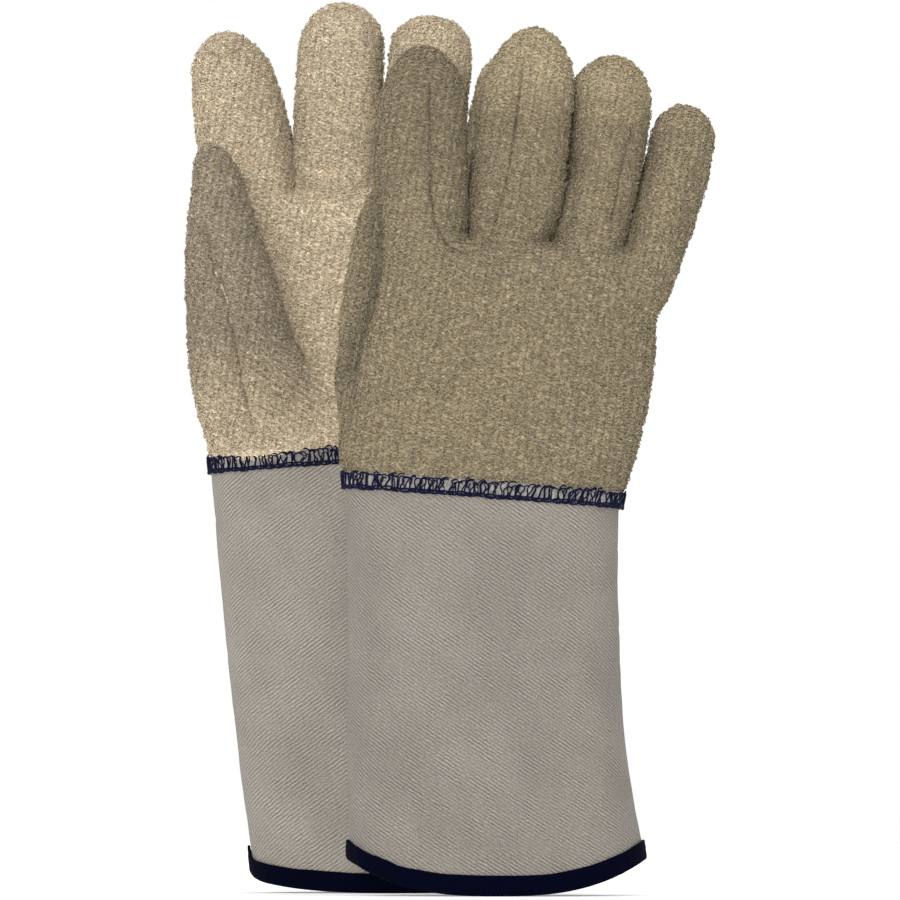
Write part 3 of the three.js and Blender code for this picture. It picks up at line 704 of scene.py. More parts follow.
def build_terry(side):
    """The hand, the fingers and the thumb of a glove, closed skins that share the points of their cuts."""
    hand = Hand(side)
    low, high = terry_box(side)
    points, quads = surface(hand.field, low, high, TERRY_STEP)
    points = relax(points, quads)
    points, normals = snapped(hand.field, points)
    _, nearest = owner_of(hand, points)
    out, pile, seam = relief(hand, points, normals, nearest)
    moved = points + normals * out[:, None]
    facing = point_normals(moved, quads)
    # shade: painted light and shade on the terry, a lightness for each point
    shade = painted_light_of(hand, points, facing)
    draw = np.random.default_rng(5 if side == "right" else 6)
    clear = (hand.rise(points[:, 0], points[:, 2]) > 4.5) & (seam < 0.25)
    inner, inner_quads = surface(hand.field, low, high, LINING_STEP, -TERRY_WALL + 1)
    owner, _ = owner_of(hand, points[quads].mean(1))
    inner_owner, _ = owner_of(hand, inner[inner_quads].mean(1))
    keep = hand.rise(*points[quads].mean(1)[:, [0, 2]].T) > TERRY_START
    inner_keep = hand.rise(*inner[inner_quads].mean(1)[:, [0, 2]].T) > TERRY_START
    pieces = {}
    for i, name in [(-1, "hand")] + list(enumerate(hand.lines)):
        used, faces = np.unique(quads[keep & (owner == i)], return_inverse=True)
        inner_used, inner_faces = np.unique(
            inner_quads[inner_keep & (inner_owner == i)], return_inverse=True
        )
        openings = 1 + len(hand.lines) if i < 0 else 1
        shell, shell_quads, strips = closed_shell(
            moved[used], faces.reshape(-1, 4), inner[inner_used], inner_faces.reshape(-1, 4), openings
        )
        lining = len(inner_used)
        data = np.concatenate([
            np.column_stack([points[used], pile[used], seam[used], shade[used], facing[used]]),
            np.column_stack([inner[inner_used], np.full(lining, 0.4), np.zeros(lining), np.ones(lining),
                             np.zeros((lining, 3))]),
        ])
        rooted = used[clear[used]]
        if name == "hand":
            pieces[name] = [terry_mesh(f"{side}_hand_terry", side, shell, shell_quads, strips, data)]
            palmwards = facing[rooted, 1] >= 0
            for part, chosen in (("back", rooted[~palmwards]), ("palm", rooted[palmwards])):
                loose = pile_loops(moved, facing, shade, chosen, draw)
                pieces[name].append(terry_mesh(f"{side}_{part}_loops", side, *loose))
        else:
            extra, extra_quads, extra_caps, extra_data = pile_loops(moved, facing, shade, rooted, draw)
            pieces[name] = [terry_mesh(
                f"{side}_{name}_terry", side, np.concatenate([shell, extra]),
                np.concatenate([shell_quads, extra_quads + len(shell)]),
                np.concatenate([strips, extra_caps + len(shell)]), np.concatenate([data, extra_data]),
            )]
    return hand, pieces


def point_normals(points, quads):
    """The normal at each point, from the faces round it."""
    a, b, c, d = (points[quads[:, k]] for k in range(4))
    face = np.cross(c - a, d - b)
    total = np.stack(
        [np.bincount(quads.ravel(), np.repeat(face[:, k], 4), len(points)) for k in range(3)], axis=1
    )
    return total / np.maximum(np.linalg.norm(total, axis=1), 1e-9)[:, None]


LOOP_AREA = 2.5  # square millimetres of cloth to each loop of yarn that stands out of it
LOOP_CELL = (1.55, 1.55, 1.45)  # and no more than one of them to a cell of this size
LOOP_SIDES = 3
LOOP_RINGS = 5


def unit(vectors):
    """The vectors, each made one long."""
    return vectors / np.maximum(np.linalg.norm(vectors, axis=-1, keepdims=True), 1e-9)


def pile_loops(points, normals, shade, rooted, draw):
    """Loops of yarn that stand out of the cloth at some of its points: points, faces and attributes."""
    count = int(len(rooted) * TERRY_STEP**2 / LOOP_AREA)
    shuffled = draw.permutation(rooted)
    sheared = points[shuffled] - LOOP_LEAN * points[shuffled, 2:3] * [1, 0, 0]
    cells = np.floor(sheared / LOOP_CELL).astype(int)
    _, first = np.unique(cells, axis=0, return_index=True)
    spots = shuffled[np.sort(first)][:count]
    count = len(spots)
    out = normals[spots]
    turn = draw.normal(0, 0.5, count)
    across = np.stack([np.cos(turn), 0 * turn, np.sin(turn)], axis=1)
    across = unit(across - out * (across * out).sum(1, keepdims=True))
    beside = np.cross(out, across)
    lean = draw.normal(0, 0.55, count)[:, None]
    up = out * np.cos(lean) + beside * np.sin(lean)
    half = draw.uniform(0.55, 1.15, count)[:, None, None]
    tall = draw.uniform(0.45, 1.05, count)[:, None, None]
    swing = np.linspace(-0.12, 1.12, LOOP_RINGS)[None, :, None] * math.pi
    middle = across[:, None] * half * np.cos(swing) + up[:, None] * tall * np.sin(swing)
    middle = points[spots][:, None] + middle
    along = unit(-across[:, None] * half * np.sin(swing) + up[:, None] * tall * np.cos(swing))
    first = unit(np.cross(across, up))[:, None] + 0 * along
    second = np.cross(along, first)
    radius = draw.uniform(0.19, 0.30, count)[:, None, None, None]
    around = (np.arange(LOOP_SIDES) * 2 * math.pi / LOOP_SIDES)[None, None, :, None]
    ring = first[:, :, None] * np.cos(around) + second[:, :, None] * np.sin(around)
    made = (middle[:, :, None] + radius * ring).reshape(-1, 3)
    size = LOOP_RINGS * LOOP_SIDES
    i, j = np.indices((LOOP_RINGS - 1, LOOP_SIDES)).reshape(2, -1)
    k = (j + 1) % LOOP_SIDES
    near, far = i * LOOP_SIDES, (i + 1) * LOOP_SIDES
    one = np.stack([near + j, near + k, far + k, far + j], axis=1)
    caps = np.array([[2, 1, 0], [size - 3, size - 2, size - 1]])
    starts = np.arange(count)[:, None, None] * size
    # The loop's pile value makes its feet darker and its top lighter in colour: painted shade and a painted
    # highlight.
    height = 0.25 + 0.75 * np.clip(np.sin(swing), 0, 1)
    height = np.repeat((height + 0 * half).reshape(-1), LOOP_SIDES)
    height *= np.repeat(draw.uniform(0.75, 1.15, count), size)
    seam, no_normal = np.zeros(len(made)), np.zeros((len(made), 3))
    data = np.column_stack([made, height, seam, np.repeat(shade[spots], size), no_normal])
    return made, (one[None] + starts).reshape(-1, 4), (caps[None] + starts).reshape(-1, 3), data


def terry_mesh(name, side, points, quads, triangles, data):
    """A terry piece; data holds its points' places at rest, pile, seam, shade and normals, zero for none.
    Pile, seam and shade paint light and shade into the colour: shade at the loops' feet and in the seams,
    light on the loops' tops, and the painted lightness of the glove's parts.
    """
    piece = make_mesh(name, place(side, points), *turned(side, quads, triangles))
    set_attribute(piece, "rest", data[:, 0:3])
    for column, attribute in ((3, "pile"), (4, "seam"), (5, "shade")):
        set_attribute(piece, attribute, data[:, column])
    piece.data.normals_split_custom_set_from_vertices((data[:, 6:9] * [1, MIRROR[side], 1]).tolist())
    return piece


def turned(side, *face_sets):
    """The left glove is a mirror image, so its faces run the other way round."""
    return [faces[:, ::-1] if side == "left" else faces for faces in face_sets]


# ------------------------------------------------------------------ the cuffs

# Up the cuff from the hem: percent of the height, middle x, half width, half depth.
CUFFS = {
    "right": [(0, 21.6, 62.7, 38), (22, 18.2, 59.4, 36.5), (50, 15.9, 57.0, 34), (75, 14.9, 56.4, 31),
              (100, 15.4, 57.1, 28)],
    "left": [(0, -20.7, 62.0, 38), (25, -26.4, 61.3, 36.5), (50, -33.5, 58.7, 34), (75, -38.2, 57.4, 31),
             (100, -41.6, 58.4, 28)],
}
CUFF_TABLES = {side: soft_table(rows, 5.0) for side, rows in CUFFS.items()}
BINDING_HEIGHT = 8.5
BINDING_WALL = 1.2
CLOTH_INSET = 1.5  # of the cuff's cloth, from the tape's outer skin
PANEL_WIDTH = 158  # round half the cuff
CUFF_LENGTH = 165
HEM_LENGTH = 330  # round the hem
WRIST_LENGTH = 290  # and round the wrist
SIDE_LAP = 0.002  # how far each half of the cuff runs past the side seam, in radians round the section


def hem_height(side, angle):
    """How far the hem's edge stands off the floor: more at the side seams, and on the left glove's back."""
    bow = np.abs(np.cos(angle)) ** 2.4
    if side == "right":
        return 14.6 * bow
    palm_side = 5.2 * bow + 6.3 * np.exp(-np.maximum(np.sin(angle), 0) / 0.15)
    return np.where(np.sin(angle) > 0, palm_side, 9.5 * bow)


def oval(half_width, half_depth, angle):
    """A point of the superellipse, and the direction square to it."""
    c, s = np.cos(angle), np.sin(angle)
    x = half_width * np.sign(c) * np.abs(c) ** (2 / PALM_ROUNDNESS)
    y = half_depth * np.sign(s) * np.abs(s) ** (2 / PALM_ROUNDNESS)
    nx = np.sign(x) * np.abs(x / half_width) ** (PALM_ROUNDNESS - 1) / half_width
    ny = np.sign(y) * np.abs(y / half_depth) ** (PALM_ROUNDNESS - 1) / half_depth
    length = np.maximum(np.hypot(nx, ny), 1e-9)
    return x, y, nx / length, ny / length


def even_angles(start, end, count, half_width, half_depth):
    """Angles at even steps of the distance round the section."""
    fine = np.linspace(start, end, 4000)
    x, y, _, _ = oval(half_width, half_depth, fine)
    run = np.concatenate([[0], np.cumsum(np.hypot(np.diff(x), np.diff(y)))])
    return np.interp(np.linspace(0, run[-1], count), run, fine)


def cuff_point(side, angle, share, inset):
    """A point of the cuff's skin, the direction out of it, and the distance of the point up the cloth."""
    spec = HANDS[side]["wrist"]
    middle, half_width, half_depth = CUFF_TABLES[side](share * 100)
    x, y, nx, ny = oval(half_width - inset, half_depth - inset, angle)
    low = hem_height(side, angle) + BINDING_WALL + 0.3
    high = spec[1] + spec[2] * (middle + x - spec[0]) - 0.3
    return middle + x, y, low + share * (high - low), nx, ny


def cuff_folds(points):
    """Slow waves in the cuff's cloth, and the soft creases of being folded flat."""
    tilted = points.copy()
    tilted[:, 2] += 0.45 * points[:, 0]
    broad = 1.5 * noise(points * [1, 1, 0.7], 42, 21) + 0.8 * noise(tilted, 20, 22)
    fine = 0.22 * noise(tilted * [0.6, 1, 1.3], 8.5, 23) + 0.08 * noise(points, 3.2, 24)
    crease = np.abs(noise(tilted * [0.55, 0.55, 1.0], 26, 25))
    return broad + fine - 0.5 * np.exp(-((crease / 0.10) ** 2))


def build_cuff_panel(side, is_palm):
    """Half of the cuff, as a sheet with a thickness: its waves, and the pressed seams at its two sides."""
    start = 0.0 if is_palm else math.pi
    across, along = 100, 104  # faces round the half cuff, and up it
    angle = even_angles(start - SIDE_LAP, start + math.pi + SIDE_LAP, across + 1, 58, 33)
    share = np.linspace(0, 1, along + 1)
    a, v = [grid.ravel() for grid in np.meshgrid(angle, share, indexing="ij")]
    inset = CLOTH_INSET * (1 - v) + 0.4 * v
    x, y, z, nx, ny = cuff_point(side, a, v, inset)
    run = np.linspace(0, 1, across + 1) * PANEL_WIDTH
    round_cloth = np.repeat(run, along + 1)
    if is_palm:
        round_cloth = PANEL_WIDTH - round_cloth
    skin = np.stack([x, y, z], axis=1)
    from_edge = np.minimum(round_cloth, PANEL_WIDTH - round_cloth)
    fade = np.clip((z - hem_height(side, a) - 4) / 16, 0, 1) * np.clip((1 - v) * CUFF_LENGTH / 9, 0, 1)
    ease = fade * np.clip(0.25 + from_edge / 14, 0, 1)
    out = cuff_folds(skin) * ease
    seam = np.exp(-((from_edge / 0.9) ** 2))
    out += fade * (0.3 * np.exp(-(((from_edge - 2.6) / 1.3) ** 2)) - 0.5 * seam)
    out -= 0.18 * fade * np.exp(-(((from_edge - 6.0) / 0.7) ** 2))
    direction = np.stack([nx, ny, 0 * nx], axis=1)
    outer = skin + direction * out[:, None]
    inner = outer - direction * TWILL_WALL
    count = len(outer)
    at = lambda i, j: i * (along + 1) + j
    i, j = np.indices((across, along)).reshape(2, -1)
    front = np.stack([at(i, j), at(i + 1, j), at(i + 1, j + 1), at(i, j + 1)], axis=1)
    back = front[:, ::-1] + count
    k, m = np.arange(across), np.arange(along)
    edges = [(at(k + 1, 0), at(k, 0)), (at(k, along), at(k + 1, along)), (at(0, m), at(0, m + 1)),
             (at(across, m + 1), at(across, m))]
    rims = [np.stack([p, q, q + count, p + count], axis=1) for p, q in edges]
    quads = np.concatenate([front, back] + rims)
    name = f"{side}_cuff_{'palm' if is_palm else 'back'}_twill"
    piece = make_mesh(name, place(side, np.concatenate([outer, inner])), *turned(side, quads))
    cloth = np.stack([round_cloth, z, seam], axis=1)
    set_attribute(piece, "cloth", np.concatenate([cloth, cloth * [-1, 1, 0]]))
    return piece


# ------------------------------------------------------------------ tapes, bands and threads

def side_by_side(*columns):
    """Rows of numbers out of columns, any of which may be a single number."""
    return np.stack(np.broadcast_arrays(*columns), axis=-1)


def ring_mesh(name, side, section):
    """A mesh from points laid out as [round the glove, round the section, xyz], closed both ways."""
    around, over, _ = section.shape
    i, j = np.indices((around, over)).reshape(2, -1)
    at = lambda p, q: (p % around) * over + q % over
    quads = np.stack([at(i, j), at(i + 1, j), at(i + 1, j + 1), at(i, j + 1)], axis=1)
    return make_mesh(name, place(side, section.reshape(-1, 3)), *turned(side, quads))


def build_binding(side):
    """The tape folded round the hem: a rounded U section, puckered by its stitching."""
    around = 420
    angle = even_angles(0, 2 * math.pi, around + 1, 62.5, 38)[:-1]
    fold = 2 * CLOTH_INSET + TWILL_WALL
    outside = [(0.55, BINDING_HEIGHT), (0.15, BINDING_HEIGHT - 0.5), (0.0, 7), (0.0, 5.6), (0.0, 4.2),
               (0.0, 2.8), (0.08, 1.5), (0.5, 0.5), (1.3, 0.05), (2.4, 0.0), (fold - 1.3, 0.05),
               (fold - 0.5, 0.5), (fold - 0.08, 1.5), (fold, 3.5), (fold, 6),
               (fold - 0.15, BINDING_HEIGHT - 0.5), (fold - 0.55, BINDING_HEIGHT)]
    inside = [(fold - 1.2, BINDING_HEIGHT - 0.3), (fold - 1.3, 1.6), (2.4, 1.35), (1.35, 1.6), (1.25, 5),
              (1.2, BINDING_HEIGHT - 0.3)]
    path = outside + inside
    section = np.zeros((around, len(path), 3))
    clothmap = np.zeros((around, len(path), 3))
    run = np.linspace(0, HEM_LENGTH, around, endpoint=False)
    for k, (inset, rise) in enumerate(path):
        middle, half_width, half_depth = CUFF_TABLES[side](np.full(around, rise / CUFF_LENGTH) * 100)
        x, y, nx, ny = oval(half_width - inset, half_depth - inset, angle)
        slant = run + 0.5 * rise
        pucker = 0.2 * noise(side_by_side(slant, 0, 3), 2.6, 31)
        pucker += 0.22 * noise(side_by_side(slant, rise / 2, 0), 7.0, 32)
        groove = -0.28 * math.exp(-(((rise - 6.9) / 0.45) ** 2)) if k < 8 else 0.0
        out = (pucker + groove) if k < len(outside) else 0
        lift = 0.35 * noise(side_by_side(run, 0, 9), 9.0, 33) if rise > 6 else 0
        height = hem_height(side, angle) + rise + lift
        section[:, k] = side_by_side(middle + x + nx * out, y + ny * out, height)
        clothmap[:, k] = side_by_side(run, rise, 0)
    section[..., 2] = np.maximum(section[..., 2], 0.0)
    piece = ring_mesh(f"{side}_hem_tape", side, section[:, ::-1])
    set_attribute(piece, "cloth", clothmap[:, ::-1].reshape(-1, 3))
    return piece


def wrist_point(side, angle, rise, out):
    """A point near the wrist seam: angle round it, height over it, and distance out from the skin."""
    spec = HANDS[side]["wrist"]
    middle, half_width, half_depth = HAND_TABLES[side](rise)
    x, y, nx, ny = oval(half_width, half_depth, angle)
    height = spec[1] + spec[2] * (middle + x - spec[0]) + rise
    return np.stack([middle + x + nx * out, y + ny * out, height], axis=-1)


BAND = 3.75  # half the height of the stitched band
WRIST_HALVES = (58, 28.5)  # half width and half depth there, near enough to space things round it


def build_band_ground(side):
    """The cloth inside the overlocked band, pressed down by the thread."""
    around = 380
    angle = even_angles(0, 2 * math.pi, around + 1, *WRIST_HALVES)[:-1]
    profile = [(-BAND, -0.9), (-BAND + 0.5, -0.2), (-2.2, 0.15), (-0.8, 0.3), (0.8, 0.3), (2.2, 0.25),
               (BAND - 0.5, 0.0), (BAND, -0.9), (BAND - 0.8, -1.6), (0, -1.7), (-BAND + 0.8, -1.6)]
    section = np.zeros((around, len(profile), 3))
    cloth = np.zeros((around, len(profile), 3))
    run = np.linspace(0, WRIST_LENGTH, around, endpoint=False)
    for k, (rise, out) in enumerate(profile):
        cloth[:, k] = side_by_side(run, rise, 0)
        rough = 0.3 * noise(cloth[:, k], 1.9, 41) if k < 8 else 0
        section[:, k] = wrist_point(side, angle, rise + 0 * angle, out + rough)
    piece = ring_mesh(f"{side}_wrist_cloth", side, section)
    set_attribute(piece, "cloth", cloth.reshape(-1, 3))
    return piece


THREAD_SIDES = 6
THREAD_TIP = 0.25  # how thick a stitch's ends are, beside its middle


def tube(path, thickness):
    """Points, quads, end caps and thread coordinates of a tube along a path, drawn in at its ends."""
    path = np.asarray(path, float)
    count, sides = len(path), THREAD_SIDES
    along = unit(np.concatenate([path[1:], path[-1:]]) - np.concatenate([path[:1], path[:-1]]))
    up = np.where(np.abs(along[:, 2:3]) > 0.8, [[0.0, 1.0, 0.3]], [[0.0, 0.0, 1.0]])
    up[:] = up[count // 2]
    first = unit(np.cross(along, up))
    second = np.cross(along, first)
    radius = np.full(count, thickness)
    radius[[0, -1]] *= THREAD_TIP
    turn = np.arange(sides) * 2 * math.pi / sides
    ring = first[:, None] * np.cos(turn)[None, :, None] + second[:, None] * np.sin(turn)[None, :, None]
    points = (path[:, None] + ring * radius[:, None, None]).reshape(-1, 3)
    i, j = np.indices((count - 1, sides)).reshape(2, -1)
    at = lambda p, q: p * sides + q % sides
    quads = np.stack([at(i, j), at(i, j + 1), at(i + 1, j + 1), at(i + 1, j)], axis=1)
    caps = []
    for q in range(1, sides - 1):
        caps.append((at(0, 0), at(0, q + 1), at(0, q)))
        caps.append((at(count - 1, 0), at(count - 1, q), at(count - 1, q + 1)))
    length = np.concatenate([[0], np.cumsum(np.linalg.norm(np.diff(path, axis=0), axis=1))])
    coordinate = np.stack([np.repeat(length, sides), np.tile(turn, count), np.zeros(count * sides)], axis=1)
    return points, quads, np.array(caps), coordinate


def merged_tubes(name, side, tubes):
    """One mesh of many tubes."""
    starts = np.cumsum([0] + [len(points) for points, *_ in tubes[:-1]])
    points, quads, caps, coordinates = (
        np.concatenate(parts) for parts in zip(*[
            (points, quads + start, caps + start, coordinates)
            for start, (points, quads, caps, coordinates) in zip(starts, tubes)
        ])
    )
    piece = make_mesh(name, place(side, points), *turned(side, quads, caps))
    set_attribute(piece, "thread", coordinates)
    return piece


def build_band_thread(side):
    """The overlock stitches: a chain under, a wavy line over, and the strokes between them."""
    draw = np.random.default_rng(71 if side == "right" else 72)
    steps = 4 * WRIST_LENGTH + 1
    fine = even_angles(0, 2 * math.pi, steps, *WRIST_HALVES)
    runs = np.linspace(0, WRIST_LENGTH, steps)

    def spot(run, rise, out):
        """A point at a distance round the wrist, over its seam and out of the cloth."""
        return wrist_point(side, np.interp(np.mod(run, WRIST_LENGTH), runs, fine), rise, out)

    tubes = []
    links = 73  # of the chain, round the wrist
    for k in range(links):
        middle = (k + 0.5) * WRIST_LENGTH / links + draw.normal(0, 0.2)
        t = np.linspace(0, 2 * math.pi, 15)
        tall = draw.uniform(0.6, 0.95)
        over = tall * np.sin(t) + draw.normal(0, 0.15)
        tubes.append(tube(spot(middle + 2.35 * np.cos(t), -2.6 + over, 0.4 + 0.18 * np.sin(t * 2)), 0.36))
        half = t[:8]
        dip = draw.uniform(0.1, 0.6)
        tubes.append(tube(spot(middle + 2 + 2.6 * np.cos(half), -2.85 + dip * np.sin(2 * half), 0.65), 0.34))
    position = 0.0
    while position < WRIST_LENGTH - 1:
        step = draw.uniform(2.0, 3.3)
        for strand in range(2):
            lean = draw.normal(0.7, 0.8)
            foot = position + draw.normal(0, 0.15) + 0.55 * strand
            top = 2.6 + draw.normal(0, 0.55)
            rise = np.linspace(0, 1, 7)
            hook = np.linspace(0, 1, 6)[1:]
            wave = draw.normal(0, 0.45) * np.sin(2 * math.pi * rise)
            over = (step + draw.normal(0, 0.3)) * hook
            across = np.concatenate([foot + lean * rise + wave, foot + lean + over])
            curl = 0.55 * np.sin(math.pi * hook) + draw.normal(0, 0.25) * hook
            height = np.concatenate([-2.7 + (top + 2.7) * rise, top + curl])
            out = 0.35 + 0.3 * np.sin(np.linspace(0, math.pi, len(across))) + 0.12 * strand
            tubes.append(tube(spot(across, height, out), draw.uniform(0.27, 0.35)))
        if draw.random() < 0.55:
            slip = draw.uniform(-2.2, 2.2)
            t = np.linspace(0, 1, 8)
            bow = draw.normal(0, 0.5) * np.sin(math.pi * t)
            tubes.append(tube(spot(position + 1.2 + slip * t + bow, -2.2 + 4.4 * t, 0.45), 0.27))
        position += step
    return merged_tubes(f"{side}_wrist_thread", side, tubes)


# ------------------------------------------------------------------ materials

class Look:
    """A node material: one Principled shader, and short calls for the nodes that feed it."""

    def __init__(self, name, roughness, sheen=0.0, specular=0.3):
        self.material = bpy.data.materials.new(name)
        self.material.use_nodes = True
        self.tree = self.material.node_tree
        self.shader = self.tree.nodes["Principled BSDF"]
        self.shader.inputs["Roughness"].default_value = roughness
        self.shader.inputs["Sheen Weight"].default_value = sheen
        self.shader.inputs["Sheen Roughness"].default_value = 0.6
        self.shader.inputs["Specular IOR Level"].default_value = specular

    def put(self, socket, value):
        """Sets a socket to a number or a colour, or links it to another node's output."""
        if isinstance(value, (int, float)):
            socket.default_value = value
        elif isinstance(value, tuple):
            socket.default_value = value if len(value) == len(socket.default_value) else (*value, 1.0)
        else:
            self.tree.links.new(value, socket)

    def attribute(self, name, output="Vector"):
        node = self.tree.nodes.new("ShaderNodeAttribute")
        node.attribute_name = name
        return node.outputs[output]

    def math(self, operation, *values, clamp=False):
        node = self.tree.nodes.new("ShaderNodeMath")
        node.operation = operation
        node.use_clamp = clamp
        for socket, value in zip(node.inputs, values):
            self.put(socket, value)
        return node.outputs[0]

    def add(self, a, b):
        return self.math("ADD", a, b)

    def minus(self, a, b):
        return self.math("SUBTRACT", a, b)

    def times(self, a, b):
        return self.math("MULTIPLY", a, b)

    def wave(self, value, period):
        """A sine from -1 to 1 that repeats at that distance."""
        return self.math("SINE", self.times(value, 2 * math.pi / period))

    def parts(self, vector):
        node = self.tree.nodes.new("ShaderNodeSeparateXYZ")
        self.put(node.inputs[0], vector)
        return node.outputs

    def vector(self, x, y, z):
        node = self.tree.nodes.new("ShaderNodeCombineXYZ")
        for socket, value in zip(node.inputs, (x, y, z)):
            self.put(socket, value)
        return node.outputs[0]

    def noise(self, vector, scale, detail=2.0, rough=0.5):
        node = self.tree.nodes.new("ShaderNodeTexNoise")
        self.put(node.inputs["Vector"], vector)
        node.inputs["Scale"].default_value = scale
        node.inputs["Detail"].default_value = detail
        node.inputs["Roughness"].default_value = rough
        return node.outputs["Fac"]

    def cells(self, vector, scale):
        node = self.tree.nodes.new("ShaderNodeTexVoronoi")
        self.put(node.inputs["Vector"], vector)
        node.inputs["Scale"].default_value = scale
        return node.outputs["Distance"]

    def ramp(self, value, low, high, to_low=0.0, to_high=1.0, smooth=True):
        """Spreads the values from low to high over those from to_low to to_high."""
        node = self.tree.nodes.new("ShaderNodeMapRange")
        node.interpolation_type = "SMOOTHSTEP" if smooth else "LINEAR"
        keys = ("Value", "From Min", "From Max", "To Min", "To Max")
        for key, number in zip(keys, (value, low, high, to_low, to_high)):
            self.put(node.inputs[key], number)
        return node.outputs[0]

    def mix(self, amount, a, b, kind="MIX"):
        """Two colours, mixed."""
        node = self.tree.nodes.new("ShaderNodeMix")
        node.data_type = "RGBA"
        node.blend_type = kind
        self.put(node.inputs["Factor"], amount)
        self.put(node.inputs[6], a)
        self.put(node.inputs[7], b)
        return node.outputs[2]

    def mix_value(self, amount, a, b):
        node = self.tree.nodes.new("ShaderNodeMix")
        for key, value in zip((0, 2, 3), (amount, a, b)):
            self.put(node.inputs[key], value)
        return node.outputs[0]

    def scaled(self, colour, amount):
        """A colour made darker or lighter."""
        return self.mix(1.0, colour, self.grey(amount), "MULTIPLY")

    def shaded(self, colour, shades):
        """A colour scaled by each value in turn, between how dark and how light that makes it."""
        for shade in shades:
            colour = self.scaled(colour, self.ramp(*shade))
        return colour

    def grey(self, value):
        node = self.tree.nodes.new("ShaderNodeCombineColor")
        for socket in node.inputs:
            self.put(socket, value)
        return node.outputs[0]

    def finish(self, colour, height, depth):
        """Colour, and a bump of that depth in metres."""
        self.put(self.shader.inputs["Base Color"], colour)
        bump = self.tree.nodes.new("ShaderNodeBump")
        bump.inputs["Strength"].default_value = 1.0
        bump.inputs["Distance"].default_value = depth
        self.put(bump.inputs["Height"], height)
        self.put(self.shader.inputs["Normal"], bump.outputs[0])
        return self.material


def linear(red, green, blue):
    """A colour as it looks on a screen, from 0 to 255, as the shader wants it."""
    shown = (red / 255, green / 255, blue / 255)
    return tuple(c / 12.92 if c <= 0.04045 else ((c + 0.055) / 1.055) ** 2.4 for c in shown)


def times(colour, factor):
    """A colour made darker or lighter."""
    return tuple(c * factor for c in colour)


COLUMN = 3.1  # width of the knit's columns
ROW = 1.5  # and the height of its rows


def terry_look(name, base):
    """Short curls of undyed cotton over darker gaps, in the knit's columns and rows."""
    look = Look(name, 0.97, sheen=0.08, specular=0.1)
    rest = look.attribute("rest")
    pile = look.attribute("pile", "Fac")
    seam = look.attribute("seam", "Fac")
    # shade: painted light and shade on each part of the glove, including a painted shadow
    shade = look.attribute("shade", "Fac")
    x, y, z = look.parts(rest)
    lean = look.minus(x, look.times(z, LOOP_LEAN))
    stretched = look.vector(look.times(lean, 0.75), y, z)
    curls = look.ramp(look.noise(stretched, 1.25, 1.0, 0.5), 0.40, 0.60)
    second = look.noise(look.vector(look.add(lean, 31.0), y, look.times(z, 1.25)), 1.15, 1.0, 0.5)
    second = look.ramp(look.math("ABSOLUTE", look.minus(second, 0.5)), 0.0, 0.12)
    fibres = look.noise(rest, 3.1, 2.0, 0.6)
    wander = look.times(look.noise(rest, 0.16, 1.0), 2.2)
    columns = look.wave(look.add(lean, wander), COLUMN)
    column = look.math("FLOOR", look.math("DIVIDE", look.add(lean, wander), COLUMN / 2))
    shift = look.times(look.noise(rest, 0.42, 1.0), 3.4)
    climb = look.add(look.add(z, shift), look.times(column, 0.62))
    rows = look.wave(climb, ROW)
    rows = look.times(rows, look.ramp(look.noise(rest, 0.55, 1.0), 0.35, 0.6, 0.35, 1.0))
    patches = look.noise(rest, 0.035, 2.0, 0.5)
    warm = look.noise(rest, 0.2, 2.0, 0.6)
    # The pile ramp paints shade into the low pile and the loops' feet and light onto their tops; shade
    # scales the colour by the painted light and shade of each part.
    colour = look.shaded(look.scaled(base, shade), [
        (pile, 0.0, 0.9, 0.84, 1.06), (curls, 0.0, 1.0, 0.87, 1.07), (second, 0.0, 1.0, 0.86, 1.05),
        (fibres, 0.25, 0.75, 0.84, 1.16, False), (columns, 0.2, 1.0, 1.03, 0.84),
        (rows, -1.0, 1.0, 0.70, 1.25), (patches, 0.3, 0.7, 0.97, 1.03),
    ])
    warmer = look.mix(1.0, colour, (1.0, 0.93, 0.82), "MULTIPLY")
    colour = look.mix(look.ramp(warm, 0.45, 0.8, 0.0, 0.35), colour, warmer)
    # Painted shade in the seams' grooves and the hollows round them, in the digits' side seams and in the
    # puckers' troughs.
    dark = look.mix(1.0, colour, (0.30, 0.26, 0.22), "MULTIPLY")
    colour = look.mix(look.times(seam, 0.85), colour, dark)
    bump = look.add(look.times(curls, 0.8), look.times(second, 0.6))
    bump = look.add(bump, look.times(fibres, 0.5))
    bump = look.add(bump, look.times(rows, 0.5))
    return look.finish(colour, bump, 0.0004)


RIB_ANGLE = math.radians(32)  # of the twill, off level
RIB_SPACING = 1.44
YARN_SPACING = 1.05  # along a rib


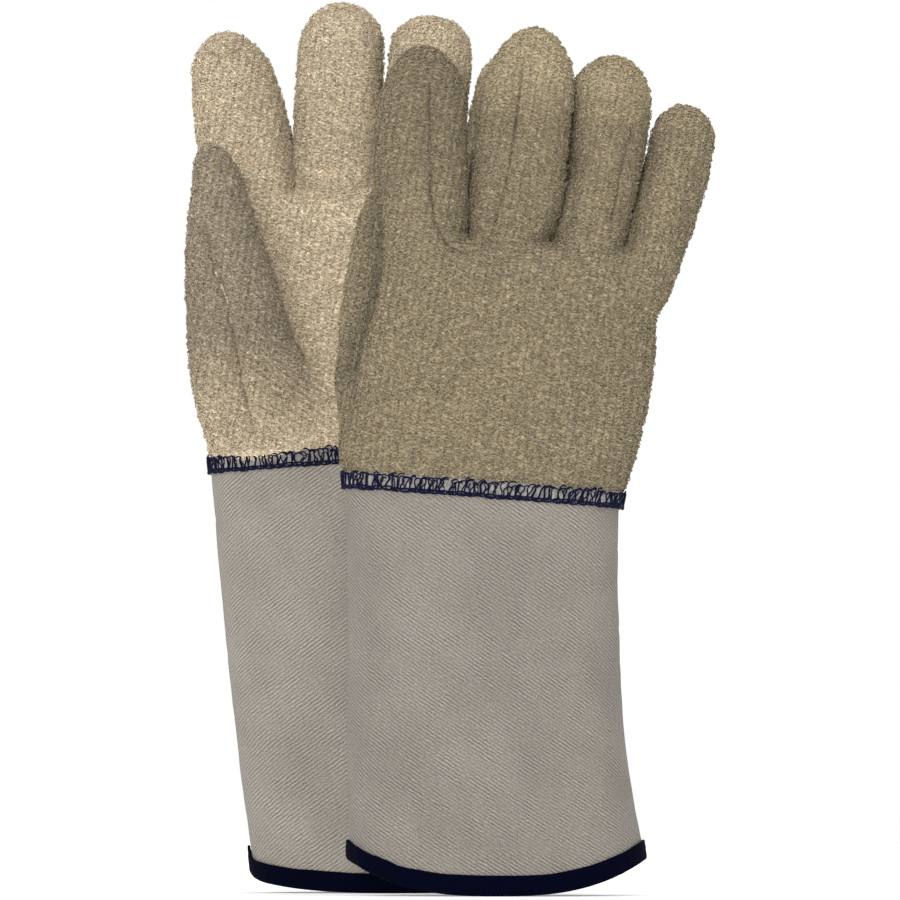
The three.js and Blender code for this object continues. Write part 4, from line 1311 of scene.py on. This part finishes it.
def twill_look(name, base, lean):
    """Diagonal ribs on undyed cloth; lean is 1 where they run down to the right, and -1 to the left."""
    look = Look(name, 0.92, sheen=0.05, specular=0.15)
    s, t, seam = look.parts(look.attribute("cloth"))
    flat = look.vector(s, t, 0.0)
    wobble = look.times(look.minus(look.noise(flat, 0.35, 3.0), 0.5), 1.1)
    sine, cosine = math.sin(RIB_ANGLE), math.cos(RIB_ANGLE)
    across = look.add(look.times(s, lean * sine), look.times(t, cosine))
    along = look.minus(look.times(s, lean * cosine), look.times(t, sine))
    phase = look.times(look.add(across, wobble), 2 * math.pi / RIB_SPACING)
    rib = look.ramp(look.math("SINE", phase), -0.9, 0.9)
    yarn = look.add(look.times(along, 2 * math.pi / YARN_SPACING), look.times(phase, 0.5))
    yarn = look.math("SINE", yarn)
    slub = look.noise(look.vector(look.times(along, 0.35), across, 0.0), 1.3, 2.0, 0.6)
    grain = look.noise(flat, 1.7, 3.0, 0.7)
    streaks = look.noise(look.vector(look.times(s, 1.6), look.times(t, 0.12), 0.0), 1.0, 2.0)
    patches = look.noise(flat, 0.028, 3.0, 0.5)
    strength = look.ramp(look.noise(flat, 0.12, 2.0), 0.3, 0.7, 0.35, 1.0)
    colour = look.mix(look.mix_value(strength, 0.55, rib), times(base, 0.62), times(base, 1.22))
    colour = look.shaded(colour, [
        (slub, 0.25, 0.75, 0.84, 1.16, False), (yarn, -1.0, 1.0, 0.975, 1.025),
        (grain, 0.3, 0.7, 0.60, 1.40, False), (streaks, 0.3, 0.7, 0.98, 1.02),
        (patches, 0.3, 0.7, 0.92, 1.08),
    ])
    flecks = look.ramp(look.cells(flat, 0.2), 0.035, 0.085, 1.0, 0.0)
    shown = look.ramp(look.noise(flat, 0.09, 1.0), 0.48, 0.6)
    colour = look.mix(look.times(look.times(flecks, shown), 0.55), colour, times(base, 0.35))
    colour = look.mix(look.math("MULTIPLY", seam, 0.45, clamp=True), colour, times(base, 0.5))
    height = look.add(rib, look.times(yarn, 0.12))
    height = look.add(height, look.times(grain, 0.7))
    return look.finish(colour, height, 0.00016)


def tape_look(name, base):
    """A plain close weave with a little lint on it."""
    look = Look(name, 0.9, sheen=0.0, specular=0.03)
    s, t, _ = look.parts(look.attribute("cloth"))
    ribs = look.wave(s, 0.55)
    weft = look.wave(t, 0.5)
    weave = look.times(ribs, weft)
    lint = look.noise(look.vector(s, t, 0.0), 1.4, 3.0, 0.7)
    colour = look.mix(look.ramp(weave, -1.0, 1.0, smooth=False), times(base, 0.65), times(base, 1.5))
    colour = look.mix(look.ramp(lint, 0.68, 0.8, 0.0, 0.12), colour, linear(40, 46, 76))
    return look.finish(colour, look.add(weave, look.times(lint, 2.0)), 0.0001)


def thread_look(name, base):
    """Plied yarn."""
    look = Look(name, 0.85, sheen=0.01, specular=0.1)
    length, turn, _ = look.parts(look.attribute("thread"))
    ply = look.math("SINE", look.add(look.times(length, 2 * math.pi / 0.9), look.times(turn, 2.0)))
    grain = look.noise(look.vector(length, turn, 0.0), 1.1, 2.0)
    colour = look.mix(look.ramp(ply, -0.8, 0.8), times(base, 0.6), times(base, 1.45))
    colour = look.shaded(colour, [(grain, 0.3, 0.7, 0.75, 1.3)])
    return look.finish(colour, ply, 0.00012)


def ground_look(name, base):
    """The cloth's frayed edge under the stitches."""
    look = Look(name, 0.95, sheen=0.1, specular=0.15)
    s, t, _ = look.parts(look.attribute("cloth"))
    flat = look.vector(s, t, 0.0)
    grain = look.noise(flat, 1.1, 3.0, 0.7)
    curls = look.noise(look.vector(s, look.times(t, 0.5), 0.0), 0.55, 2.0)
    colour = look.mix(look.ramp(grain, 0.3, 0.7), times(base, 0.65), times(base, 1.15))
    colour = look.shaded(colour, [(curls, 0.35, 0.65, 0.75, 1.15)])
    return look.finish(colour, grain, 0.0004)


# The two gloves are one cloth: the left glove's much lighter terry and its lighter twill are painted light,
# set to make up for how the light falls on each glove.
TERRY = {"right": linear(169, 155, 125), "left": linear(232, 214, 182)}
TWILL = {"right": linear(129, 123, 115), "left": linear(142, 136, 127)}
NAVY_TAPE = linear(2, 4, 22)
NAVY_THREAD = linear(10, 14, 44)
GROUND = linear(142, 138, 134)


# ------------------------------------------------------------------ stage, light and camera

FLOOR_REACH = 3.0


def stage():
    """A plain white floor at the height of the lowest hem."""
    low = CAD_BOX[0].z
    mesh = bpy.data.meshes.new("floor")
    corners = [(-1, -1), (1, -1), (1, 1), (-1, 1)]
    mesh.from_pydata([(x * FLOOR_REACH, y * FLOOR_REACH, low) for x, y in corners], [], [(0, 1, 2, 3)])
    floor = bpy.data.objects.new("floor", mesh)
    bpy.context.scene.collection.objects.link(floor)
    look = Look("floor_white", 0.9, specular=0.1)
    look.shader.inputs["Base Color"].default_value = (0.86, 0.86, 0.86, 1)
    look.shader.inputs["Emission Color"].default_value = (1, 1, 1, 1)
    look.shader.inputs["Emission Strength"].default_value = 0.25
    mesh.materials.append(look.material)


def light(name, place_at, aim, size, watts):
    """A round, soft lamp at a place in metres, turned towards another."""
    lamp = bpy.data.lights.new(name, "AREA")
    lamp.shape = "DISK"
    lamp.size = size
    lamp.energy = watts
    obj = bpy.data.objects.new(name, lamp)
    obj.location = place_at
    obj.rotation_euler = (Vector(aim) - Vector(place_at)).to_track_quat("-Z", "Y").to_euler()
    bpy.context.scene.collection.objects.link(obj)


def camera():
    """A long lens straight in front of the gloves, a little below their middle."""
    data = bpy.data.cameras.new("camera")
    data.sensor_width = 36
    data.lens = 477.5
    data.clip_end = 50
    obj = bpy.data.objects.new("camera", data)
    here, aim = Vector((0.002, -5.0, 0.055)), Vector((0.002, 0.0, 0.1859))
    obj.location = here
    obj.rotation_euler = (aim - here).to_track_quat("-Z", "Y").to_euler()
    bpy.context.scene.collection.objects.link(obj)
    bpy.context.scene.camera = obj


def surroundings():
    """A white room and three soft lamps."""
    world = bpy.data.worlds.new("studio")
    world.use_nodes = True
    world.node_tree.nodes["Background"].inputs[0].default_value = (1, 1, 1, 1)
    world.node_tree.nodes["Background"].inputs[1].default_value = 1.0
    bpy.context.scene.world = world
    bpy.context.scene.view_settings.view_transform = "Standard"
    light("key", (-1.3, -2.2, 1.3), (0, 0, 0.2), 0.9, 12)
    light("fill", (-0.25, -3.2, 0.5), (0, 0, 0.2), 0.6, 42)
    light("rim", (0.6, 2.0, 1.4), (0, 0, 0.2), 1.2, 12)


def assemble():
    """Makes every piece of both gloves, and says what each one looks like and which CAD parts it stands for;
    all but the digits' pieces ride on their glove.
    """
    for side in MIRROR:
        body = f"{side}_glove"
        terry = terry_look(f"{side}_terry", TERRY[side])
        hand, pieces = build_terry(side)
        for name, (piece, *loose) in pieces.items():
            for each in (piece, *loose):
                each.data.materials.append(terry)
            if name == "hand":
                for each in (piece, *loose):
                    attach(each, body)
                forks = [f"{side}_fork_{a}_{b}" for a, b in zip(FINGERS, FINGERS[1:])]
                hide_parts(f"{side}_back_panel", f"{side}_palm_panel", f"{side}_thumb_base", *forks)
                continue
            hinge, direction, _ = hand.lines[name]
            cut = THUMB_CUT if name == "thumb" else FINGER_CUT[side]
            end = THUMB_BEND_END if name == "thumb" else BEND_END[side]
            start_at, end_at = place(side, [hinge + direction * cut, hinge + direction * end])
            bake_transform(piece)
            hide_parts(f"{side}_{name}_back", f"{side}_{name}_palm")
        lean = 1.0 if side == "right" else -1.0
        cloth = twill_look(f"{side}_twill", TWILL[side], lean)
        for is_palm in (False, True):
            panel = build_cuff_panel(side, is_palm)
            panel.data.materials.append(cloth)
            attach(panel, body)
            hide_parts(f"{side}_cuff_{'palm' if is_palm else 'back'}_panel")
        binding = build_binding(side)
        binding.data.materials.append(tape_look(f"{side}_tape", NAVY_TAPE))
        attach(binding, body)
        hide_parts(f"{side}_hem_binding")
        ground = build_band_ground(side)
        ground.data.materials.append(ground_look(f"{side}_band_cloth", GROUND))
        thread = build_band_thread(side)
        thread.data.materials.append(thread_look(f"{side}_thread", NAVY_THREAD))
        for piece in (ground, thread):
            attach(piece, body)
        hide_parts(f"{side}_wrist_overlock")


camera()
surroundings()
stage()
assemble()
